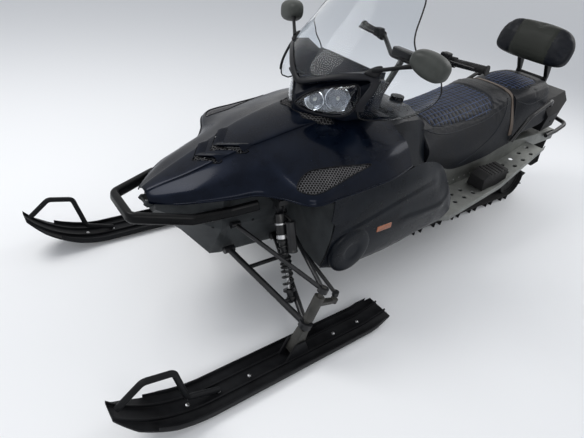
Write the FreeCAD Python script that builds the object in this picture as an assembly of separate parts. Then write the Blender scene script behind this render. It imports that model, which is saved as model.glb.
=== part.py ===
import FreeCAD, Part
import math
import os

V = FreeCAD.Vector

# Snowmobile for two riders. Millimetres. X forward, Y to the machine's left, Z up.
# The origin is on the ground, under the middle of the machine's length and width.

# Driving dimensions: track and its carriage
track_width = 381.0
track_pitch = 64.0
track_rows = 57
belt_thickness = 6.0
lug_height = 32.0
lug_thickness = 9.0
sprocket_radius = 88.5
sprocket_x = 205.0
sprocket_z = 325.0
idler_radius = 95.0
idler_x = -1280.0
wheel_gap = 0.4
roller_radius = 60.0
carrier_x = -520.0
carrier_z = 340.0
carrier_radius = 62.0
rail_nose_radius = 190.0
rail_nose_x = -40.0
rail_spacing = 250.0
rail_thickness = 14.0
rail_height = 52.0
shoe_height = 16.0
wheel_width = 22.0
axle_radius = 11.0

# Driving dimensions: tunnel and running boards
sheet = 3.0
tunnel_width = 430.0
tunnel_front_x = 350.0
tunnel_rear_x = -1470.0
tunnel_top_z = 500.0
tunnel_rise = 30.0
board_thickness = 5.0
board_lip = 22.0
seat_gap = 0.3

# Driving dimensions: skis and steering
ski_stance = 1090.0
ski_width = 150.0
ski_deck = 10.0
ski_tip_x = 1622.0
ski_tail_x = 420.0
ski_tip_z = 190.0
keel_height = 12.0
kingpin_x = 912.0
kingpin_z = 84.0
caster = 18.0
lower_eye = 96.0
upper_eye = 262.0
spindle_radius = 21.0
neck_radius = 12.0
top_pin_radius = 9.0
foot_half = 20.0
steering_arm = 100.0
arm_height = 200.0
tie_rod_radius = 8.0
link_half = 70.0
link_z = 390.0
column_tilt = 30.0
column_x = 50.0
column_z = 985.0
bar_radius = 11.0
grip_radius = 16.0
grip_length = 150.0
grip_end_y = 375.0
post_radius = 14.0

# Driving dimensions: bodywork
panel = 4.0
hinge_x = 1290.0
hinge_z = 520.0
hinge_radius = 6.0
pin_gap = 0.3
knuckle_half = 20.0
glass = 4.0
clutch_x = 612.0
clutch_z = 372.0
clutch_radius = 100.0

# Driving dimensions: backrest
pad_x = -1165.0
pad_z = 932.0
pad_lean = 14.0

# Driving dimensions: front suspension
lower_pivots = [(985.0, 124.6, 278.0), (752.0, 126.4, 278.0)]
shock_share = 0.725
cross_radius = 9.0
shock_top = (868.0, 262.0, 541.0)
shock_slant = 6.0
shock_eye = 16.0
shock_eye_half = 8.0
shock_radius = 25.0

# Sections of the side panel, the hood and the windshield
side_rows = [
    # x, low y, low z, mid y, mid z, top y, top z
    (722.0, 402.0, 292.0, 428.0, 440.0, 424.0, 612.0),
    (600.0, 418.0, 262.0, 448.0, 400.0, 424.0, 634.0),
    (350.0, 416.0, 268.0, 452.0, 420.0, 412.0, 660.0),
    (120.0, 412.0, 296.0, 446.0, 428.0, 372.0, 684.0),
    (-60.0, 410.0, 312.0, 438.0, 430.0, 322.0, 640.0),
]
hood_rows = [
    # x, bottom half width, bottom z, shoulder half width, shoulder z, crown z
    (1292.0, 52.0, 540.0, 34.0, 562.0, 570.0),
    (1150.0, 168.0, 578.0, 118.0, 614.0, 630.0),
    (960.0, 248.0, 605.0, 170.0, 672.0, 710.0),
    (700.0, 300.0, 640.0, 215.0, 752.0, 796.0),
    (450.0, 330.0, 668.0, 232.0, 800.0, 846.0),
    (312.0, 330.0, 684.0, 225.0, 812.0, 850.0),
]
screen_rows = [
    # z, centre x, edge x, edge y
    (842.0, 674.0, 392.0, 272.0),
    (868.0, 668.0, 286.0, 324.0),
    (940.0, 642.0, 232.0, 366.0),
    (1020.0, 588.0, 272.0, 384.0),
    (1120.0, 512.0, 302.0, 322.0),
    (1270.0, 400.0, 290.0, 216.0),
    (1356.0, 336.0, 270.0, 132.0),
]

# Windshield's lower front edge: distance from the middle, height; then down beside the headlight
brow = [(0.0, 920.0), (31.0, 929.0), (91.0, 956.0), (154.0, 983.0), (211.0, 998.0), (240.0, 1006.0)]
strut = [(262.0, 994.0), (262.0, 960.0), (254.0, 914.0), (256.0, 878.0)]
brow_x = 430.0
visor_low = 10.0
visor_high = 16.0

tunnel_half = tunnel_width / 2.0
stance_half = ski_stance / 2.0
kingpin_y = stance_half
caster_rad = math.radians(caster)
column_rad = math.radians(column_tilt)


# Small shape helpers
def polygon(points):
    return Part.makePolygon([V(*p) for p in points] + [V(*points[0])])


def prism(points, direction):
    return Part.Face(polygon(points)).extrude(V(*direction))


def side_prism(points, y_low, y_high):
    """Solid with an outline in X and Z, between two values of Y."""
    return prism([(x, y_low, z) for x, z in points], (0, y_high - y_low, 0))


def plan_prism(points, z_low, z_high):
    """Solid with an outline in X and Y, between two values of Z."""
    return prism([(x, y, z_low) for x, y in points], (0, 0, z_high - z_low))


def block(x, y, z):
    """Box between two values on each axis, given as pairs."""
    return Part.makeBox(x[1] - x[0], y[1] - y[0], z[1] - z[0], V(x[0], y[0], z[0]))


def rod(start, end, radius):
    line = V(*end) - V(*start)
    return Part.makeCylinder(radius, line.Length, V(*start), line)


def cross_rod(x, y, z, radius):
    """Cylinder across the machine, between two values of Y."""
    return Part.makeCylinder(radius, y[1] - y[0], V(x, y[0], z), V(0, 1, 0))


def path(points, bend):
    """Straight runs joined by tangent arcs of one radius."""
    corners = [V(*p) for p in points]
    edges = []
    start = corners[0]
    for before, corner, after in zip(corners, corners[1:], corners[2:]):
        u = (before - corner).normalize()
        w = (after - corner).normalize()
        half = u.getAngle(w) / 2.0
        reach = bend / math.tan(half)
        middle = (u + w).normalize() * (bend / math.sin(half) - bend)
        edges.append(Part.LineSegment(start, corner + u * reach).toShape())
        edges.append(Part.Arc(corner + u * reach, corner + middle, corner + w * reach).toShape())
        start = corner + w * reach
    edges.append(Part.LineSegment(start, corners[-1]).toShape())
    return Part.Wire(edges)


def tube(points, radius, bend):
    """Round bar along a path."""
    spine = path(points, bend)
    heading = (V(*points[1]) - V(*points[0])).normalize()
    ring = Part.Wire([Part.makeCircle(radius, V(*points[0]), heading)])
    return spine.makePipeShell([ring], True, False)


def join(shapes):
    """One solid from shapes that meet."""
    return shapes[0].multiFuse(shapes[1:]).removeSplitter()


def mirrored(shape):
    return shape.mirror(V(0, 0, 0), V(0, 1, 0))


def both(shape):
    """A piece and its twin on the other side."""
    return Part.makeCompound([shape, mirrored(shape)])


def row_at(rows, x):
    """Values of a table at one x, in a straight line between its rows."""
    for first, second in zip(rows, rows[1:]):
        if second[0] <= x <= first[0]:
            share = (x - first[0]) / (second[0] - first[0])
            return [a + share * (b - a) for a, b in zip(first, second)]


def save(name, shape):
    shape.exportStep("parts/" + name + ".step")


# Belt line round three wheels
def tangent_points(first, second):
    """Ends of the outer tangent between two circles (x, z, radius), wheels on its left."""
    dx = second[0] - first[0]
    dz = second[1] - first[1]
    distance = math.hypot(dx, dz)
    lean = math.asin((first[2] - second[2]) / distance)
    angle = math.atan2(dz, dx) - math.pi / 2.0 + lean
    normal = (math.cos(angle), math.sin(angle))
    ends = []
    for x, z, radius in (first, second):
        ends.append((x + radius * normal[0], z + radius * normal[1]))
    return ends


def belt_pieces(offset):
    """Lines and arcs of the track, counter-clockwise, at a distance outside the wheels."""
    wheels = [
        (idler_x, lug_height + belt_thickness + idler_radius, idler_radius + offset),
        (rail_nose_x, lug_height + belt_thickness + rail_nose_radius, rail_nose_radius + offset),
        (sprocket_x, sprocket_z, sprocket_radius + offset),
        (carrier_x, carrier_z, carrier_radius + belt_sag(carrier_radius) + wheel_gap + offset),
    ]
    count = len(wheels)
    lines = [tangent_points(wheels[i], wheels[(i + 1) % count]) for i in range(count)]
    pieces = []
    for i in range(count):
        pieces.append(("line", lines[i][0], lines[i][1]))
        wheel = wheels[(i + 1) % count]
        pieces.append(("arc", lines[i][1], lines[(i + 1) % count][0], wheel))
    return pieces


def arc_sweep(piece):
    start = math.atan2(piece[1][1] - piece[3][1], piece[1][0] - piece[3][0])
    end = math.atan2(piece[2][1] - piece[3][1], piece[2][0] - piece[3][0])
    return start, (end - start) % (2.0 * math.pi)


def piece_length(piece):
    if piece[0] == "line":
        return math.dist(piece[1], piece[2])
    return arc_sweep(piece)[1] * piece[3][2]


def belt_point(pieces, share):
    """Point and outward normal at a share of the belt's length."""
    left = (share % 1.0) * sum(piece_length(p) for p in pieces)
    for piece in pieces:
        length = piece_length(piece)
        if left <= length:
            break
        left -= length
    if piece[0] == "line":
        part = left / length
        x = piece[1][0] + part * (piece[2][0] - piece[1][0])
        z = piece[1][1] + part * (piece[2][1] - piece[1][1])
        along = ((piece[2][0] - piece[1][0]) / length, (piece[2][1] - piece[1][1]) / length)
        return (x, z), (along[1], -along[0])
    start, sweep = arc_sweep(piece)
    angle = start + sweep * left / length
    normal = (math.cos(angle), math.sin(angle))
    return (piece[3][0] + piece[3][2] * normal[0], piece[3][1] + piece[3][2] * normal[1]), normal


def track_outline(lug_rows):
    """Outer line of the belt, with a lug on the chosen rows."""
    pieces = belt_pieces(0.0)
    points = []
    for row in range(track_rows):
        point, normal = belt_point(pieces, row / track_rows)
        along = (-normal[1], normal[0])
        steps = [(-0.5, 0.0), (0.5, 0.0)]
        if row % 3 in lug_rows:
            steps = [(-0.5, 0.0), (-0.32, 1.0), (0.32, 1.0), (0.5, 0.0)]
        for shift, rise in steps:
            out = belt_thickness + rise * lug_height
            side = shift * lug_thickness
            x = point[0] + normal[0] * out + along[0] * side
            z = point[1] + normal[1] * out + along[1] * side
            points.append((x, z))
        point, normal = belt_point(pieces, (row + 0.5) / track_rows)
        x = point[0] + normal[0] * belt_thickness
        z = point[1] + normal[1] * belt_thickness
        points.append((x, z))
    return points


def belt_inside():
    pieces = belt_pieces(0.0)
    steps = 2 * track_rows
    return [belt_point(pieces, step / steps)[0] for step in range(steps)]


def track():
    """Rubber belt with three columns of lugs; columns differ from row to row."""
    half = track_width / 2.0
    gap = 6.0
    inner = 62.0
    # columns: low Y, high Y, rows of three that carry a lug
    columns = [
        (-half, -inner - gap, (0, 1)),
        (-inner - gap, -inner, ()),
        (-inner, inner, (0, 2)),
        (inner, inner + gap, ()),
        (inner + gap, half, (0, 1)),
    ]
    slabs = []
    for low, high, rows in columns:
        slabs.append(side_prism(track_outline(rows), low, high))
    hollow = side_prism(belt_inside(), -half - 1.0, half + 1.0)
    return join(slabs).cut(hollow)


# Carriage inside the track
def slide_rails():
    """Two rails with sliders below, curved up at the front."""
    floor = lug_height + belt_thickness
    nose_z = floor + rail_nose_radius
    angle = math.radians(48.0)
    outer = rail_nose_radius - belt_sag(rail_nose_radius) - wheel_gap
    inner = outer - rail_height
    rear = idler_x
    nose = V(rail_nose_x, 0, nose_z)

    def around(radius, turn):
        return nose + V(radius * math.sin(turn), 0, -radius * math.cos(turn))

    rear_low = V(rear, 0, nose_z - outer)
    rear_high = V(rear, 0, nose_z - inner)
    edges = [
        Part.LineSegment(rear_low, around(outer, 0)).toShape(),
        Part.Arc(around(outer, 0), around(outer, angle / 2), around(outer, angle)).toShape(),
        Part.LineSegment(around(outer, angle), around(inner, angle)).toShape(),
        Part.Arc(around(inner, angle), around(inner, angle / 2), around(inner, 0)).toShape(),
        Part.LineSegment(around(inner, 0), rear_high).toShape(),
        Part.LineSegment(rear_high, rear_low).toShape(),
    ]
    rail = Part.Face(Part.Wire(edges)).extrude(V(0, rail_thickness, 0))
    windows = 7
    pitch = (rail_nose_x - rear - 220.0) / windows
    for i in range(windows):
        start = rear + 150.0 + i * pitch
        low = nose_z - outer + shoe_height
        rail = rail.cut(block((start, start + pitch - 40.0), (-1, rail_thickness + 1), (low, low + 16.0)))
    for x, z, radius in wheel_pairs():
        if x == carrier_x:
            continue
        foot = nose_z - outer + shoe_height
        top = z + 17.0
        bracket = side_prism([(x - 46.0, foot), (x + 46.0, foot), (x + 16.0, top), (x - 16.0, top)], 0.0, rail_thickness)
        rail = rail.fuse(bracket).cut(cross_rod(x, (-1.0, rail_thickness + 1.0), z, axle_radius + 0.3))
    rail.translate(V(0, rail_spacing / 2.0 - rail_thickness / 2.0, 0))
    return both(rail)


def wheel(x, z, y, radius, width):
    """Disc wheel with a hub and a hollow web."""
    tyre = cross_rod(x, (y - width / 2, y + width / 2), z, radius)
    for low, high in ((y - width / 2 - 1, y - 4), (y + 4, y + width / 2 + 1)):
        dish = cross_rod(x, (low, high), z, radius - 14.0)
        hub = cross_rod(x, (low, high), z, 26.0)
        tyre = tyre.cut(dish.cut(hub))
    return tyre


def belt_sag(radius):
    """How far the belt's flat links come inside a wheel's line."""
    return (track_pitch / 2.0) ** 2 / (8.0 * radius)


def wheel_pairs():
    """Free wheels: x, z, radius."""
    floor = lug_height + belt_thickness
    return [
        (idler_x, floor + idler_radius, idler_radius - belt_sag(idler_radius) - wheel_gap),
        (carrier_x, carrier_z, carrier_radius),
        (-160.0, floor + roller_radius + wheel_gap, roller_radius),
        (-900.0, floor + roller_radius + wheel_gap, roller_radius),
    ]


def idler_wheels():
    """Rear pair, upper pair and front pair of free wheels, each pair with its axle."""
    reach = rail_spacing / 2.0 + 28.0
    sets = []
    for x, z, radius in wheel_pairs():
        parts = [wheel(x, z, side * reach, radius, wheel_width) for side in (-1, 1)]
        end = tunnel_half - sheet - 0.3 if radius == carrier_radius else reach
        parts.append(cross_rod(x, (-end, end), z, axle_radius))
        if x == idler_x:
            parts.append(wheel(x, z, 0.0, radius, wheel_width))
        sets.append(join(parts))
    return Part.makeCompound(sets)


def drive_axle():
    """Axle across the tunnel with two toothed sprockets."""
    end = tunnel_half - sheet - 0.3
    parts = [cross_rod(sprocket_x, (-end, end), sprocket_z, 15.0)]
    teeth = 9
    for y in (-75.0, 75.0):
        points = []
        for i in range(teeth * 4):
            angle = 2.0 * math.pi * i / (teeth * 4)
            tip = sprocket_radius - belt_sag(sprocket_radius) - wheel_gap
            radius = tip if i % 4 in (0, 1) else tip - 16.0
            points.append((sprocket_x + radius * math.cos(angle), sprocket_z + radius * math.sin(angle)))
        parts.append(side_prism(points, y - 12.0, y + 12.0))
    return join(parts)


def suspension_arms():
    """Front and rear swing arms that hang the rails from the tunnel."""
    parts = []
    for top_x, top_z, low_x, low_z, y, end in swing_arms():
        bars = [rod((top_x, side * y, top_z), (low_x, side * y, low_z), 12.0) for side in (-1, 1)]
        bars.append(cross_rod(top_x, (-end, end), top_z, 16.0))
        edge = rail_spacing / 2.0 - rail_thickness / 2.0 - 0.3
        bars.append(cross_rod(low_x, (-edge, edge), low_z, 14.0))
        arm = join(bars)
        if top_x == carrier_x:
            arm = arm.cut(cross_rod(top_x, (-end - 1.0, end + 1.0), top_z, axle_radius + 0.3))
        parts.append(arm)
    return Part.makeCompound(parts)


def swing_arms():
    """Rear suspension arms: upper x and z, lower x and z, half widths of the bars and the shaft."""
    full = tunnel_half - sheet - 0.3
    return [
        (20.0, 345.0, -230.0, 92.0, 88.0, full),
        (carrier_x, carrier_z, -860.0, 92.0, 78.0, 94.0),
    ]


def coil_damper(start, end, radius, turns, body_share):
    """Spring round a damper: a shaft with coils and a plain body at the start."""
    line = V(*end) - V(*start)
    length = line.Length
    wire_radius = radius * 0.19
    neck = radius - wire_radius * 1.6
    body = length * body_share
    slim = radius * 0.86
    points = [(0.0, 0.0), (slim, 0.0), (slim, body * 0.92), (radius, body * 0.92), (radius, body)]
    step = (length * 0.86 - body) / turns
    for i in range(turns):
        low = body + i * step
        points.append((neck, low + step * 0.1))
        points.append((radius, low + step * 0.4))
        points.append((radius, low + step * 0.7))
    shaft = neck * 0.6
    points += [(neck, length * 0.87), (radius, length * 0.88), (radius, length * 0.91)]
    points += [(shaft, length * 0.93), (shaft, length), (0.0, length)]
    profile = Part.Face(polygon([(r, 0, s) for r, s in points]))
    solid = profile.revolve(V(0, 0, 0), V(0, 0, 1), 360)
    turn = FreeCAD.Rotation(V(0, 0, 1), line)
    solid.Placement = FreeCAD.Placement(V(*start), turn)
    return solid


def rear_dampers():
    """Two dampers on the middle line, each from an arm's upper shaft to its lower one."""
    dampers = []
    for top_x, top_z, low_x, low_z, _, _ in swing_arms():
        top = V(top_x, 0, top_z)
        low = V(low_x, 0, low_z)
        along = (low - top).normalize()
        dampers.append(coil_damper(top + along * 16.5, low - along * 14.5, 30.0, 7, 0.35))
    return Part.makeCompound(dampers)


# Tunnel, boards and what they carry
def tunnel_roof(x):
    """Height of the tunnel's top at a place along it."""
    bend_x = tunnel_rear_x + 20.0
    return tunnel_top_z + tunnel_rise * (tunnel_front_x - x) / (tunnel_front_x - bend_x)


def tunnel():
    """Folded sheet channel over the track."""
    low = 300.0
    rear_low = 440.0
    outline = [
        (tunnel_front_x, low),
        (tunnel_front_x, tunnel_top_z),
        (tunnel_rear_x + 20.0, tunnel_top_z + tunnel_rise),
        (tunnel_rear_x, tunnel_top_z + 10.0),
        (tunnel_rear_x, rear_low + 20.0),
        (-1120.0, rear_low),
        (-640.0, 338.0),
    ]
    outer = side_prism(outline, -tunnel_half, tunnel_half)
    inside = [(x + (1 if x > 0 else -1), z - (sheet if z > 460.0 else 1)) for x, z in outline]
    inner = side_prism(inside, -tunnel_half + sheet, tunnel_half - sheet)
    shell = outer.cut(inner)
    inner_half = tunnel_half - sheet
    front_plate = block((tunnel_front_x - sheet, tunnel_front_x), (-inner_half, inner_half), (430.0, 495.0))
    return join([shell, front_plate])


def board_line():
    """Running board height and outer edge: x, z, outer y."""
    inside = panel + seat_gap
    rows = []
    for x, z in ((330.0, 300.0), (120.0, 303.2), (-60.0, 306.0)):
        rows.append((x, z, row_at(side_rows, x)[1] - inside))
    return rows + [(-112.0, 308.0, 428.0), (-640.0, 352.0, 384.0), (-1130.0, 486.0, 330.0)]


def running_board():
    """Left board, joined to the tunnel side, with drainage holes and a turned-up toothed lip."""
    rows = board_line()
    inner = tunnel_half + 0.3
    slabs = []
    for (x1, z1, y1), (x2, z2, y2) in zip(rows, rows[1:]):
        wires = []
        for x, z, y in ((x1, z1, y1), (x2, z2, y2)):
            lip = z + board_lip
            wires.append(polygon([
                (x, inner, z - board_thickness), (x, y, z - board_thickness), (x, y, lip),
                (x, y - 4.0, lip), (x, y - 4.0, z), (x, inner, z),
            ]))
        slabs.append(Part.makeLoft(wires, True, True))
    board = join(slabs)
    holes = []
    for x, z, y in hole_places():
        holes.append(Part.makeCylinder(13.0, 60.0, V(x, y, z - 30.0)))
    return board.cut(Part.makeCompound(holes))


def hole_places():
    """Drainage holes along the board: x, z, y."""
    rows = board_line()
    places = []
    for x in [60.0 - 84.0 * i for i in range(14)]:
        for (x1, z1, y1), (x2, z2, y2) in zip(rows, rows[1:]):
            if x2 <= x <= x1:
                part = (x - x1) / (x2 - x1)
                z = z1 + part * (z2 - z1)
                y = y1 + part * (y2 - y1)
        places.append((x, z, (tunnel_half + y) / 2.0 + 28.0))
        if abs(x + 600.0) > 170.0:
            places.append((x - 42.0, z, (tunnel_half + y) / 2.0 - 30.0))
    return places


def passenger_footrest():
    """Ribbed rubber block on the left board."""
    front = -500.0
    y1, y2 = 250.0, 352.0
    crown = 432.0
    wires = []
    # sections: x, top z
    for x, top in ((front, 402.0), (front - 40.0, crown), (-640.0, crown), (-730.0, 433.0)):
        base = row_at(board_line(), x)[1] + seat_gap
        wires.append(polygon([(x, y1, base), (x, y2, base), (x, y2 - 8.0, top), (x, y1 + 4.0, top + 6.0)]))
    rest = Part.makeLoft(wires, True, True)
    for i in range(5):
        x = front - 55.0 - i * 34.0
        rest = rest.cut(block((x - 5.0, x + 5.0), (y1 - 5.0, y2 + 5.0), (crown - 6.0, crown + 20.0)))
    return rest


def snow_flap():
    """Rubber flap that hangs from the tunnel's rear edge."""
    edge = tunnel_rear_x - seat_gap
    high = tunnel_top_z + 8.0
    points = [
        (edge - 9.0, high), (edge, high), (edge - 16.0, 330.0),
        (edge - 60.0, 205.0), (edge - 68.0, 205.0), (edge - 25.0, 330.0),
    ]
    flap = side_prism(points, -190.0, 190.0)
    corner = [(-1600.0, 190.0, 200.0), (-1600.0, 150.0, 200.0), (-1600.0, 190.0, 260.0)]
    notch = prism(corner, (200.0, 0, 0))
    return flap.cut(both(notch))


def rear_bumper():
    """Tube loop round the tail."""
    radius = 13.0
    side = tunnel_half + radius + seat_gap
    half = [(-1330.0, side, 505.0), (-1450.0, side, 522.0), (-1560.0, side, 560.0), (-1585.0, 120.0, 570.0)]
    return tube(half + [(x, -y, z) for x, y, z in reversed(half)], radius, 40.0)


# Bodywork of the chassis
def loft_sections(rows, shape):
    """Loft through one closed wire for each row."""
    return Part.makeLoft([shape(*row) for row in rows], True, True)


def belly_section(x, keel, low, side, top, inset=0.0):
    """Trough section: keel half width and height, side half width, top height."""
    raised = low + inset
    high = top + (40.0 if inset else 0.0)
    belt = low + (top - low) * 0.55
    return polygon([
        (x, -keel + inset * 0.5, raised), (x, keel - inset * 0.5, raised), (x, side - inset, belt),
        (x, side - inset, high), (x, -side + inset, high), (x, -side + inset, belt),
    ])


def belly_pan():
    """Open trough under the engine, from the nose to the footwells, with the hood's hinge ears."""
    front_x = 720.0
    # sections: x, keel half width, low z, side half width, top z
    rows = [
        (1268.0, 22.0, 478.0, 52.0, 530.0),
        (1170.0, 60.0, 392.0, 132.0, 556.0),
        (1060.0, 96.0, 262.0, 176.0, 578.0),
        (1012.0, 96.0, 250.0, 150.0, 560.0),
        (front_x - panel, 100.0, 240.0, 150.0, 560.0),
    ]
    outer = loft_sections(rows, belly_section)
    front = (rows[0][0] - panel * 1.5,) + rows[0][1:]
    rear = (front_x,) + rows[-1][1:]
    hollow_rows = [front] + rows[1:-1] + [rear]
    inner = loft_sections([row + (panel,) for row in hollow_rows], belly_section)
    floor = loft_sections(
        [(x,) + belly_edge(x) for x in (front_x, 600.0, tunnel_front_x + seat_gap)],
        lambda x, y, z: polygon([(x, -y, z), (x, y, z), (x, y, z + panel), (x, -y, z + panel)]),
    )
    inside = panel + seat_gap
    _, low_y, low_z, mid_y, mid_z, top_y, top_z = row_at(side_rows, front_x)
    half = [(low_y - inside, low_z), (mid_y - inside, mid_z), (top_y - inside, top_z - 16.0)]
    wall_points = half + [(-y, z) for y, z in reversed(half)]
    wall = prism([(front_x - panel, y, z) for y, z in wall_points], (panel, 0, 0))
    doorway = block((front_x - 2 * panel, front_x + panel), (-140.0, 140.0), (low_z + 9.0, top_z))
    parts = [outer.cut(inner), floor, wall, cross_rod(hinge_x, (-30.0, 30.0), hinge_z, hinge_radius)]
    nose = rows[0][0]
    ear = [
        (nose - panel, hinge_z - 12.0), (hinge_x, hinge_z - 12.0), (hinge_x + 11.0, hinge_z),
        (hinge_x, hinge_z + 12.0), (nose - panel, hinge_z + 8.0),
    ]
    for side in (-1, 1):
        y = side * (knuckle_half + seat_gap)
        parts.append(side_prism(ear, min(y, y + side * 10.0), max(y, y + side * 10.0)))
    return join(parts).cut(doorway).cut(tie_rod_ways())


def belly_edge(x):
    """Half width and height of the pan's floor, inside the side panels."""
    _, low_y, low_z, _, _, _, _ = row_at(side_rows, x)
    return low_y - panel - seat_gap, low_z


def tie_rod_ways():
    """Slots in the pan's sides for the tie rods."""
    ball = tie_rod_ball()
    travel = steering_arm * math.sin(math.radians(30.0))
    fall = (link_z - ball[2]) / (kingpin_y - link_half)
    z = link_z - fall * (150.0 - link_half)
    high = tie_rod_radius + fall * travel + 7.0
    wide = tie_rod_radius + 0.7
    slot = block((ball[0] - wide, ball[0] + wide), (95.0, 190.0), (z - high, z + high))
    return both(slot)


def side_section(x, low_y, low_z, mid_y, mid_z, top_y, top_z):
    """Thin upright section of a side panel."""
    return polygon([
        (x, low_y, low_z), (x, mid_y, mid_z), (x, top_y, top_z),
        (x, top_y - panel, top_z), (x, mid_y - panel, mid_z), (x, low_y - panel, low_z),
    ])


def side_panel():
    """Left panel from the front wall to the footwell, with the drive cover's round bulge."""
    shell = loft_sections(side_rows, side_section)
    cover = cross_rod(clutch_x, (425.0, 462.0), clutch_z, clutch_radius)
    rim = Part.makeCone(clutch_radius, clutch_radius - 12.0, 8.0, V(clutch_x, 462.0, clutch_z), V(0, 1, 0))
    inside = cross_rod(clutch_x, (400.0, 460.0), clutch_z, clutch_radius - 6.0)
    bulge = join([cover, rim]).cut(inside)
    plug = cross_rod(clutch_x, (400.0, 440.0), clutch_z, clutch_radius - 6.0)
    return join([shell.cut(plug), bulge])


def reflector():
    """Amber reflector on the left panel's upper facet."""
    x = 445.0
    z = 440.0
    _, _, _, mid_y, mid_z, top_y, top_z = row_at(side_rows, x)
    _, _, _, rear_y, rear_z, _, _ = row_at(side_rows, x - 10.0)
    up = V(0.0, top_y - mid_y, top_z - mid_z).normalize()
    back = V(-10.0, rear_y - mid_y, rear_z - mid_z).normalize()
    out = back.cross(up).normalize()
    centre = V(x, mid_y, mid_z) + up * ((z - mid_z) / up.z)
    plate = Part.makeBox(62.0, 26.0, 8.0, V(-31.0, -13.0, seat_gap))
    plate = plate.makeFillet(3.0, plate.Edges)
    plate.Placement = FreeCAD.Placement(centre, FreeCAD.Rotation(up.cross(out), up, out, "ZYX"))
    return plate


def front_bumper():
    """Moulded loop round the nose, past the belly pan's sides to the dampers, with chamfered edges."""
    half_high = 21.0
    half_deep = 15.0
    chamfer = 0.55
    half = [(940.0, 234.0, 552.0), (1035.0, 193.6, 520.0), (1185.0, 182.0, 520.0), (1372.0, 84.0, 520.0)]
    rows = half + [(x, -y, z) for x, y, z in reversed(half)]
    spine = path(rows, 30.0)
    heading = (V(*rows[1]) - V(*rows[0])).normalize()
    side = V(-heading.y, heading.x, 0).normalize()
    up = heading.cross(side) * math.copysign(1.0, heading.cross(side).z)
    quarter = [(1, chamfer), (chamfer, 1)]
    ring_shares = quarter + [(-a, b) for a, b in reversed(quarter)]
    ring_shares += [(-a, -b) for a, b in ring_shares]
    corners = []
    for a, b in ring_shares:
        corners.append(V(*rows[0]) + side * (a * half_deep) + up * (b * half_high))
    ring = Part.makePolygon(corners + [corners[0]])
    return spine.makePipeShell([ring], True, False)


def engine_block():
    """Plain mass of the engine in its real place."""
    front = 660.0
    low = belly_edge(front)[1] + panel + seat_gap
    crank = block((415.0, front), (-225.0, 225.0), (low, 440.0))
    head = block((430.0, 640.0), (-190.0, 190.0), (440.0, 565.0))
    return join([crank, head])


def tank_section(x, low_y, low_z, shoulder_y, shoulder_z, top_z, inset=0.0):
    y1 = low_y - inset
    y2 = shoulder_y - inset
    z1 = low_z - (30.0 if inset else 0.0)
    z2 = shoulder_z - inset
    z3 = top_z - inset
    return polygon([
        (x, -y1, z1), (x, y1, z1), (x, y2 + 12.0, z2 - 40.0), (x, y2, z2),
        (x, y2 * 0.5, z3), (x, -y2 * 0.5, z3), (x, -y2, z2), (x, -y2 - 12.0, z2 - 40.0),
    ])


def tank_cowl():
    """Hollow cowl between the seat and the hood, over the fuel tank and the steering column."""
    # sections: x, low half width, low z, shoulder half width, shoulder z, top z
    rows = [
        (300.0, 262.0, 640.0, 196.0, 748.0, 770.0),
        (160.0, 262.0, 590.0, 190.0, 770.0, 800.0),
        (20.0, 244.0, 540.0, 172.0, 756.0, 792.0),
        (-60.0, 232.0, tunnel_roof(-60.0) + seat_gap, 150.0, 716.0, 748.0),
    ]
    outer = loft_sections(rows, tank_section)
    hollow = [(rows[0][0] + 2.0,) + rows[0][1:]] + rows[1:-1] + [(rows[-1][0] + panel,) + rows[-1][1:]]
    inner = loft_sections([row + (panel,) for row in hollow], tank_section)
    shell = outer.cut(inner)
    axis = V(math.sin(column_rad), 0, -math.cos(column_rad))
    way = Part.makeCylinder(post_radius + 0.6, 420.0, V(column_x, 0, column_z), axis)
    filler = Part.makeCylinder(34.0, 60.0, V(10.0, 0, 760.0))
    return shell.cut(way).cut(filler)


def fuel_cap():
    """Ribbed cap in the cowl's filler opening."""
    cap = Part.makeCylinder(33.5, 44.0, V(10.0, 0, 764.0))
    grips = []
    for i in range(10):
        angle = 2.0 * math.pi * i / 10
        hollow = V(10.0 + 36.0 * math.cos(angle), 36.0 * math.sin(angle), 792.0)
        grips.append(Part.makeCylinder(5.0, 20.0, hollow))
    return cap.cut(Part.makeCompound(grips))


# Seats
def seat_section(x, low_y, low_z, side_y, side_z, top_y, top_z):
    """Padded saddle section with a flat floor over the tunnel."""
    return polygon([
        (x, -low_y, low_z), (x, low_y, low_z), (x, side_y, side_z), (x, top_y, top_z - 14.0),
        (x, top_y * 0.55, top_z), (x, -top_y * 0.55, top_z),
        (x, -top_y, top_z - 14.0), (x, -side_y, side_z),
    ])


def saddle(rows):
    """Seat that straddles the tunnel with its channel cut out."""
    body = loft_sections(rows, seat_section)
    top = tunnel_top_z + tunnel_rise + seat_gap
    channel = block((-1500.0, 100.0), (-tunnel_half - seat_gap, tunnel_half + seat_gap), (300.0, top))
    return body.cut(channel)


def driver_seat():
    # sections: x, low half width, low z, side half width, side z, top half width, top z
    rows = [
        (-60.3, 224.0, 520.0, 226.0, 600.0, 140.0, 712.0),
        (-340.0, 236.0, 455.0, 240.0, 560.0, 168.0, 735.0),
        (-600.0, 238.0, 480.0, 236.0, 580.0, 176.0, 775.0),
        (-740.0, 236.0, 510.0, 226.0, 600.0, 160.0, 815.0),
        (-850.0, 232.0, 530.0, 212.0, 640.0, 120.0, 822.0),
    ]
    return saddle(rows)


def passenger_seat():
    rows = [
        (-850.3, 228.0, 560.0, 206.0, 640.0, 150.0, 806.0),
        (-1000.0, 222.0, 580.0, 200.0, 680.0, 160.0, 836.0),
        (-1180.0, 214.0, 600.0, 192.0, 700.0, 150.0, 850.0),
        (-1250.0, 206.0, 620.0, 180.0, 710.0, 130.0, 846.0),
    ]
    return saddle(rows)


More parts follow.
